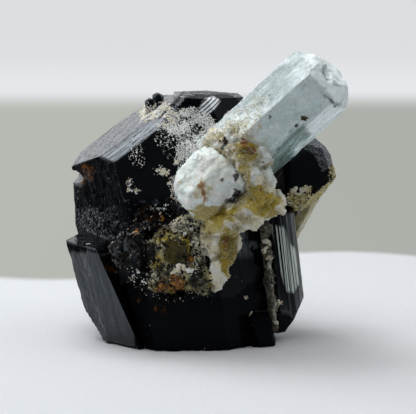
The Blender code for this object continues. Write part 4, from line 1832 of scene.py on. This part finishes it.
@dataclass
class Prism:
    """The aquamarine: a flat-faced clear prism with an etched end and veils inside."""

    node: str = "aquamarine_prism"
    axis: tuple = (0.711, -0.19, 0.675)
    edge: float = 0.22
    stretch: float = 2.0
    grooves: Relief = Relief(1.1, 0.03, 3, 31)
    worn: Relief = Relief(1.4, 0.07, 4, 32)
    worn_plates: Plates = Plates(1.1, 0.10, 33)
    etched: Plates = Plates(1.5, 0.20, 34)
    etched_finely: Plates = Plates(0.6, 0.07, 35)
    etched_away: float = 0.05
    dent: float = 0.5
    etched_from: float = 3.2
    etched_wholly: float = 1.5
    veil_count: int = 15
    veil_seed: int = 8
    veil_cells: int = 14
    veil_centre: tuple = (292, 108, -0.0085)
    veil_gap: float = 0.15

    def near_tip(self, points: np.ndarray) -> np.ndarray:
        """How near each point is to the etched end.

        Args:
            points: the points.

        Returns:
            One value a point, 0 to 1.
        """
        reach = points @ unit(self.axis)
        top = reach.max()
        return ease(reach, top - self.etched_from * MM, top - self.etched_wholly * MM)

    def wear(self, made: Surface, near_tip: np.ndarray) -> np.ndarray:
        """The relief of its worn and etched skin.

        Args:
            made: the surface.
            near_tip: how near each of its points is to the end.

        Returns:
            The height at each point, in millimetres.
        """
        points = made.points
        worn = self.worn.at(points) + self.worn_plates.at(points)
        etched = near_tip * (self.etched.at(points) + self.etched_finely.at(points))
        dents = painted(points, TIP_DENTS, 0.3, 0.5) * made.front() * self.dent
        grooves = self.grooves.at(along(points, self.axis, 0.06))
        return grooves + worn + etched - near_tip * self.etched_away - dents

    def frost(
        self, points: np.ndarray, near_tip: np.ndarray, coat: np.ndarray, front: np.ndarray
    ) -> np.ndarray:
        """How frosted each point is, with a painted glint and painted light on the front.

        Args:
            points: the points.
            near_tip: how near each is to the end.
            coat: how far each lies under the sugary coat.
            front: how far each faces the shown side.

        Returns:
            One value a point, 0 to 1.
        """
        clouds = Clumps(1.0, -0.05, 0.3, 38, octaves=5).at(along(points, self.axis, 0.5)) * 0.36
        # The etched end is frosted, and frosted more to lighten it where little light reaches: partly
        # painted light.
        tip = near_tip * (0.48 + 0.18 * Clumps(0.7, -0.1, 0.3, 36).at(points))
        # Painted light: the glint and the lighter front.
        painted_light = painted(points, PAINTED_LIGHT_ON_FRONT, 0.5, 0.8) * front
        edge = region(points, WORN_EDGE, 2, 2) * front * 0.6
        return np.clip(clouds + tip + painted_light + coat * (0.12 + 0.88 * self.lower(points)) + edge, 0, 1)

    @staticmethod
    def lower(points: np.ndarray) -> np.ndarray:
        """How low each point is on the shown side, where the coat is thicker."""
        return ease(VIEW.pixels(points)[:, 1], 84, 128)

    def make(self) -> bpy.types.Object:
        """Builds the crystal.

        Returns:
            The crystal.
        """
        made = Surface(self.node, Fineness(self.edge * MM, self.axis, self.stretch))
        # Its paints are placed on the points as they are before the wear moves them.
        points, near_tip = made.points, self.near_tip(made.points)
        made.push(self.wear(made, near_tip))
        front = made.front()
        coat = region(points, COAT, 5, 9) * front
        # Painted shade on the lower right face and the top left face.
        deep = np.maximum(region(points, SHADED_LOWER_FACE, 2, 1), painted(points, SHADED_TOP_FACE))
        made.paint("stain", painted(points, BROWN_SPOTS, 0.2, 0.3) * front)
        made.paint("pit", painted(points, TIP_PITS, 0.2, 0.3) * front)
        made.paint("frost", self.frost(points, near_tip, coat, front))
        made.paint("yellow", painted(points, YELLOWED) * front)
        made.paint("deep", deep * front)
        clumps = Clumps(0.6, -0.15, 0.25, 37, least=0.15).at(points)
        made.paint("coat", coat * (0.04 + self.lower(points)) * clumps)
        finish = BerylFinish("aquamarine", self.axis)
        prism = made.object("aquamarine", finish.material(), "aquamarine", sharp=20)
        sugar = GrainFinish("coat", ((0.84, 0.83, 0.77), (0.88, 0.88, 0.85), (0.72, 0.66, 0.46)), soft=0.2)
        Scatter("coat", "coat", 75, 0.08, 0.30, seed=51).strew(prism, sugar.material(), "feldspar")
        return prism

    def film(self, made: bmesh.types.BMesh, inside: BVHTree, index: int, place: tuple) -> None:
        """Adds one film, cut off where it would leave the crystal.

        Args:
            made: the mesh that it is added to.
            inside: the crystal's faces.
            index: the film's number, which picks its bend.
            place: its middle, its normal and its radius.
        """
        middle, normal, radius = place
        turn = turn_to(normal).to_matrix()
        layer = made.verts.layers.float["fade"]
        cells, grid = self.veil_cells, {}
        for a in range(cells + 1):
            for b in range(cells + 1):
                u, v = a / cells * 2 - 1, b / cells * 2 - 1
                lift = noise.noise(Vector((u * 1.3 + index, v * 1.3, 3.1 * index))) * 0.35
                point = middle + turn @ Vector((u, v, lift)) * radius
                near, out, _, gap = inside.find_nearest(point)
                if (point - near).dot(out) < 0 and gap > self.veil_gap * MM:
                    grid[a, b] = made.verts.new(point)
                    grid[a, b][layer] = float(1 - ease(np.array([math.hypot(u, v)]), 0.45, 1.0)[0])
        for a in range(cells):
            for b in range(cells):
                around = ((a, b), (a + 1, b), (a + 1, b + 1), (a, b + 1))
                if all(key in grid for key in around):
                    made.faces.new([grid[key] for key in around])

    def veils(self) -> bpy.types.Object:
        """Builds the films inside the crystal, each a curved sheet that fades out at its rim.

        Returns:
            The films.
        """
        rng = np.random.default_rng(self.veil_seed)
        centre, way = np.array(VIEW.at_depth(*self.veil_centre)), unit(self.axis)
        solid = bmesh.new()
        solid.from_mesh(frame["nodes"][self.node].data)
        inside = BVHTree.FromBMesh(solid)
        solid.free()
        made = bmesh.new()
        made.verts.layers.float.new("fade")
        for index in range(self.veil_count):
            middle = centre + way * rng.uniform(-6.0, 5.2) * MM + rng.normal(size=3) * 0.7 * MM
            normal = Vector(rng.normal(size=3) + way * rng.uniform(-0.5, 2.5)).normalized()
            self.film(made, inside, index, (Vector(middle), normal, rng.uniform(1.0, 2.1) * MM))
        bmesh.ops.delete(made, geom=[v for v in made.verts if not v.link_faces], context="VERTS")
        mesh = mesh_of(made, "veils")
        mesh.shade_smooth()
        mesh.materials.append(VeilFinish("veils").material())
        return settle(in_scene("veils", mesh), "aquamarine")


@dataclass
class Lobe:
    """The worn end of the milky beryl below the aquamarine."""

    voxel: float = 0.12
    smooth: int = 52
    swell: float = 0.34
    worn: Relief = Relief(2.8, 0.34, 3, 40)
    worn_plates: Plates = Plates(1.2, 0.015, 41)
    mottled: Relief = Relief(0.8, 0.17, 4, 42)
    beads: float = 0.40
    bead_height: float = 0.06
    tones: tuple = ((0.84, 0.92, 0.89), (0.95, 0.95, 0.91), (0.72, 0.74, 0.62))
    # The dark one is painted shade in the crevice beside the lobe.
    stains: tuple = (
        ("yellow", (0.52, 0.42, 0.15)), ("rust", (0.32, 0.13, 0.012)), ("dark", (0.03, 0.03, 0.03)),
    )

    def make(self) -> bpy.types.Object:
        """Builds the lobe.

        Returns:
            The lobe.
        """
        made = Surface("beryl_lobe", voxel=self.voxel * MM, smooth=self.smooth)
        worn = self.worn.at(made.points) + self.worn_plates.at(made.points)
        beads = nodules(made.points, self.beads * MM, 43) * self.bead_height
        worn = worn + (self.mottled.at(made.points) + beads)
        made.push(worn + self.swell)
        points, front = made.points, made.front()
        # Painted shade in the hollows.
        made.paint("hollow", (1 - ease(worn, -0.25, 0.0)) * 0.5)
        made.paint("rust", painted(points, LOBE_RUST, 0.9, 0.4) * front)
        made.paint("yellow", painted(points, LOBE_YELLOW, 0.7, 0.7) * front)
        # Painted shade in the crevice along its right side.
        made.paint("dark", painted(points, LOBE_CREVICE_SHADE, 0.6, 0.3) * front)
        ragged = Clumps(0.9, -0.05, 0.35, 44).at(points)
        edge, left = region(points, LOBE_EDGE, 3, 5), region(points, LOBE_LEFT, 3, 4)
        made.paint("sugar", (0.22 * ragged + edge * 0.9 + left * 0.8 * ragged) * front)
        finish = CrustFinish("milky_beryl", *self.tones, self.stains, rough=0.36, relief=0.10, soft=0.3)
        material = finish.material()
        lobe = made.object("milky_lobe", material, "milky_beryl", sharp=45)
        Scatter("lobe_sugar", "sugar", 40, 0.07, 0.28, seed=41).strew(lobe, material, "milky_beryl")
        return lobe


@dataclass
class Crust:
    """A granular crust or druse: an uneven mass with grains strewn on it.

    Each entry of grains is a scatter with its finish, or with None for the mass's own.
    """

    node: str
    name: str
    slot: str
    finish: CrustFinish
    paints: dict
    grains: tuple = ()
    voxel: float = 0.12
    relief: float = 0.3
    thinner: float = 0.0

    def make(self) -> bpy.types.Object:
        """Builds the mass and its grains.

        Returns:
            The mass.
        """
        made = Surface(self.node, voxel=self.voxel * MM)
        bumps = Relief(1.7, self.relief, 4, 21).at(made.points)
        for size, share, seed in ((0.75, 0.7, 22), (0.34, 0.34, 23)):
            bumps = bumps + nodules(made.points, size * MM, seed) * self.relief * share
        made.push(bumps - self.relief * 0.1 - self.thinner)
        front = made.front()
        # Painted shade in the hollows.
        made.paint("hollow", 1 - ease(bumps / self.relief, -0.55, 0.1))
        made.paint("everywhere", np.ones(len(made.points)))
        for name, patches in self.paints.items():
            made.paint(name, painted(made.points, patches) * front)
        if "bare" in self.paints:
            bare = painted(made.points, self.paints["bare"]) * front
            made.paint("rough", (1 - bare) * Clumps(0.6, -0.25, 0.2, 29, least=0.2).at(made.points))
        material = self.finish.material()
        mass = made.object(self.name, material, self.slot, sharp=50)
        for scatter, finish in self.grains:
            scatter.strew(mass, finish.material() if finish else material, self.slot)
        return mass


# The rusty grains that two of the crusts carry.
RUSTY_GRAINS = GrainFinish("rust_grains", (RUST, (0.5, 0.27, 0.05), (0.2, 0.07, 0.01)))


def feldspar() -> Crust:
    """The cream crust round the prism's root, with the drip below it.

    Returns:
        The crust, not yet built.
    """
    stains = (
        ("pale", PALE), ("ochre", OCHRE), ("yellow", YELLOW), ("rust", RUST), ("olive", OLIVE),
        ("black", BLACK),
    )
    finish = CrustFinish(
        "feldspar", CREAM, WHITE, (0.34, 0.27, 0.07), stains, pepper=0.9, soft=0.0, relief=0.12
    )
    return Crust("feldspar_crust", "feldspar_mass", "feldspar", finish, FELDSPAR_PAINTS, (
        (Scatter("feldspar_grains", "everywhere", 40, 0.08, 0.32, seed=11), None),
        (Scatter("feldspar_rust", "rust", 12, 0.08, 0.2, seed=12), RUSTY_GRAINS),
    ))


def druse() -> Crust:
    """The small crystals that line the hollow.

    Returns:
        The druse, not yet built.
    """
    stains = (("ochre", OCHRE), ("olive", OLIVE), ("cream", CREAM), ("rust", RUST), ("black", BLACK))
    finish = CrustFinish(
        "druse", (0.42, 0.38, 0.20), (0.15, 0.125, 0.035), (0.012, 0.011, 0.006), stains, pepper=1.0,
        rough=0.5
    )
    cream = GrainFinish("cream_grains", (CREAM, WHITE, (0.66, 0.58, 0.38), (0.84, 0.82, 0.76)))
    mixed = GrainFinish("druse_grains", (
        WHITE, (0.5, 0.46, 0.32), BLACK, (0.25, 0.2, 0.07), (0.7, 0.68, 0.6), BLACK,
    ))
    glossy = GrainFinish("druse_dark", (BLACK, (0.014, 0.013, 0.012)), shine=0.5, rough=0.12, soft=0.0)
    return Crust("druse", "druse_mass", "druse", finish, DRUSE_PAINTS, (
        (Scatter("druse_same", "rough", 20, 0.10, 0.34, seed=20), None),
        (Scatter("druse_grains", "rough", 20, 0.06, 0.24, seed=21), mixed),
        (Scatter("druse_dark", "rough", 9, 0.14, 0.40, GrainShape.CRYSTAL, seed=24), glossy),
        (Scatter("druse_cream", "cream", 20, 0.08, 0.34, seed=22), cream),
        (Scatter("druse_rust", "rust", 16, 0.1, 0.3, seed=23), RUSTY_GRAINS),
    ))


def seam() -> Crust:
    """The thin crust in the seam between the body and the column.

    Returns:
        The crust, not yet built.
    """
    stains = (("pale", (0.66, 0.66, 0.58)), ("black", BLACK))
    finish = CrustFinish(
        "seam", (0.13, 0.125, 0.10), (0.28, 0.26, 0.20), (0.02, 0.019, 0.016), stains, pepper=0.9
    )
    tan = GrainFinish("tan_grains", ((0.50, 0.46, 0.36), (0.30, 0.26, 0.17), (0.66, 0.64, 0.58), BLACK))
    grains = ((Scatter("seam_grains", "everywhere", 24, 0.05, 0.18, seed=31), tan),)
    return Crust(
        "seam_crust", "seam_mass", "feldspar", finish, SEAM_PAINTS, grains, relief=0.38, voxel=0.07,
        thinner=0.40
    )


def quartz() -> Crust:
    """The small yellowish crystal behind the column.

    Returns:
        The crystal, not yet built.
    """
    finish = CrustFinish(
        "quartz", (0.42, 0.38, 0.20), (0.55, 0.52, 0.40), (0.25, 0.2, 0.06), rough=0.35, soft=0.3
    )
    return Crust("quartz_point", "quartz_mass", "quartz", finish, {}, relief=0.12)


def nuggets() -> tuple:
    """Single lumps and grains where the photograph shows them.

    Returns:
        The groups of lumps, not yet built.
    """
    cream = GrainFinish("nugget_cream", ((0.76, 0.71, 0.56), (0.80, 0.77, 0.68), (0.66, 0.58, 0.40)))
    white = GrainFinish("nugget_white", ((0.82, 0.81, 0.79), (0.76, 0.75, 0.72)))
    brown = GrainFinish("nugget_brown", ((0.07, 0.03, 0.012), (0.03, 0.018, 0.01)))
    rust = GrainFinish("nugget_rust", ((0.42, 0.17, 0.03), (0.52, 0.28, 0.06), (0.3, 0.12, 0.02)))
    return (
        Nuggets("nuggets_cream", "feldspar", cream, CREAM_LUMPS),
        Nuggets("nuggets_white", "druse", white, WHITE_LUMPS, seed=60),
        Nuggets("nuggets_brown", "druse", brown, BROWN_LUMPS, seed=120),
        Nuggets("nuggets_rust", "druse", rust, RUST_LUMPS, seed=90),
    )


def build_pieces() -> None:
    """Builds every piece of the specimen."""
    made = [Body().make(), Shaft("schorl_column", "column", (-0.12, 0.06, 0.991)).make()]
    stub = Shaft(
        "schorl_stub", "stub", (0.16, -0.90, 0.40), edge=0.14, stretch=4, width=0.7, broken=0.0,
        crusted=True
    )
    made.append(stub.make())
    prism = Prism()
    made.append(prism.make())
    prism.veils()
    made.append(Lobe().make())
    made += [crust.make() for crust in (feldspar(), druse(), seam(), quartz())]
    sight = Sight(*made)
    for lumps in nuggets():
        lumps.make(sight)


# The studio


@dataclass(frozen=True)
class Softbox:
    """A soft rectangular light that faces the specimen: its place, its size and its watts."""

    name: str
    place: tuple
    size: tuple
    power: float
    colour: tuple = (1, 1, 1)
    target: tuple = (0, 0, 0.012)

    def make(self) -> None:
        """Adds it to the scene."""
        data = bpy.data.lights.new(self.name, "AREA")
        data.shape, data.size, data.size_y = "RECTANGLE", *self.size
        data.energy, data.color = self.power, self.colour
        made = in_scene(self.name, data)
        made.location = self.place
        aim = Vector(self.target) - Vector(self.place)
        made.rotation_euler = aim.to_track_quat("-Z", "Y").to_euler()


SOFTBOXES = (
    Softbox("left_softbox", (-0.16, 0.03, 0.07), (0.06, 0.05), 0.045, (0.80, 0.92, 1.0)),
    Softbox("right_softbox", (0.13, -0.02, 0.11), (0.08, 0.08), 0.018),
    Softbox("top_softbox", (-0.05, 0.05, 0.2), (0.12, 0.12), 0.23),
    Softbox("ledge_softbox", (-0.094, 0.126, 0.136), (0.06, 0.06), 0.030, (0.84, 0.92, 1.0)),
    Softbox("front_softbox", (-0.05, -0.13, 0.25), (0.15, 0.15), 0.22),
)


@dataclass
class Studio:
    """The pale floor that turns up into a backdrop, and soft lights.

    The backdrop's colours and the distances where they change go from near to far. Each distance
    is a pair, where the change starts and where it ends.
    """

    front: float = -0.5
    wall: float = 0.55
    wall_top: float = 0.4
    half_width: float = 0.6
    corner: float = 0.05
    shaded: tuple = (0.03, 0.03, 0.035)
    floor: tuple = (0.645, 0.655, 0.675)
    grey: tuple = ((0.475, 0.486, 0.452), (0.420, 0.434, 0.402))
    pale: tuple = ((0.79, 0.80, 0.825), (0.70, 0.715, 0.73))
    room: tuple = (0.95, 0.98, 1.0, 1)
    shaded_from: tuple = (0.034, 0.06)
    band_from: tuple = (0.0375, 0.0415)
    band_waves: float = 88.5
    band_shift: float = 0.066
    band_swing: float = 0.0100
    pale_from: tuple = (0.262, 0.340)
    paler_until: tuple = (0.34, 0.60)

    def floor_material(self) -> bpy.types.Material:
        """White near the specimen, a plain grey band behind it, pale again farther off.

        Returns:
            The material.
        """
        nodes = Nodes("backdrop")
        across, depth = (
            nodes.make("ShaderNodeSeparateXYZ", {}, {0: nodes.place}, axis) for axis in (0, 1)
        )
        wave = (across * self.band_waves + self.band_shift).sine()
        behind = (depth - wave * self.band_swing).step(*self.band_from)
        grey = nodes.mix(across.step(-0.03, 0.03), *self.grey)
        pale = nodes.mix(depth.step(*self.paler_until), *self.pale)
        glow = {"Color": nodes.mix(depth.step(*self.pale_from), grey, pale), "Strength": 1.0}
        tone = nodes.mix((depth * -1).step(*self.shaded_from), self.floor, self.shaded)
        grain = nodes.bump(nodes.noise(2600, 4, 0.6), 0.2 * MM, 0.5)
        floor = nodes.surface(Base_Color=tone, Roughness=0.95, Normal=grain)
        return nodes.finish(nodes.mix_shaders(behind, floor, nodes.make("ShaderNodeEmission", {}, glow)))

    def backdrop(self) -> bpy.types.Object:
        """Makes the floor and the wall as one curved sheet.

        Returns:
            The sheet.
        """
        bend, radius = self.wall - self.corner, self.corner
        profile = [(self.front, 0.0), (0.0, 0.0), (bend - radius, 0.0)]
        profile += [
            (bend + radius * math.sin(a), radius - radius * math.cos(a))
            for a in np.linspace(0, math.pi / 2, 9)
        ]
        profile.append((self.wall, self.wall_top))
        made = bmesh.new()
        sides = (-self.half_width, self.half_width)
        rows = [[made.verts.new((x, y, z)) for x in sides] for y, z in profile]
        for low, high in zip(rows, rows[1:]):
            made.faces.new((low[0], low[1], high[1], high[0]))
        mesh = mesh_of(made, "backdrop")
        mesh.shade_smooth()
        mesh.materials.append(self.floor_material())
        sheet = in_scene("backdrop", mesh)
        return sheet

    def world(self) -> None:
        """The room's light: pale above and behind, dark in front, where the camera stands."""
        made = bpy.data.worlds.new("room")
        made.use_nodes = True
        bpy.context.scene.world = made
        tree = made.node_tree
        background = tree.nodes["Background"]
        where, split, ramp = (
            tree.nodes.new(kind)
            for kind in ("ShaderNodeTexCoord", "ShaderNodeSeparateXYZ", "ShaderNodeMapRange")
        )
        ramp.interpolation_type = "SMOOTHSTEP"
        limits = {"From Min": -0.75, "From Max": 0.1, "To Min": 0.03, "To Max": 0.65}
        for name, value in limits.items():
            ramp.inputs[name].default_value = value
        tree.links.new(where.outputs["Generated"], split.inputs[0])
        tree.links.new(split.outputs["Y"], ramp.inputs["Value"])
        tree.links.new(ramp.outputs[0], background.inputs["Strength"])
        background.inputs["Color"].default_value = self.room

    def make(self) -> None:
        """Sets up the whole studio."""
        self.backdrop()
        self.world()
        for softbox in SOFTBOXES:
            softbox.make()
        bpy.context.scene.view_settings.view_transform = "Standard"


# Everything


def main() -> None:
    """Builds the studio and every piece, in order."""
    logging.basicConfig(level=logging.INFO, format="%(message)s")
    VIEW.make()
    Studio().make()
    build_pieces()


if __name__ == "__main__":
    main()
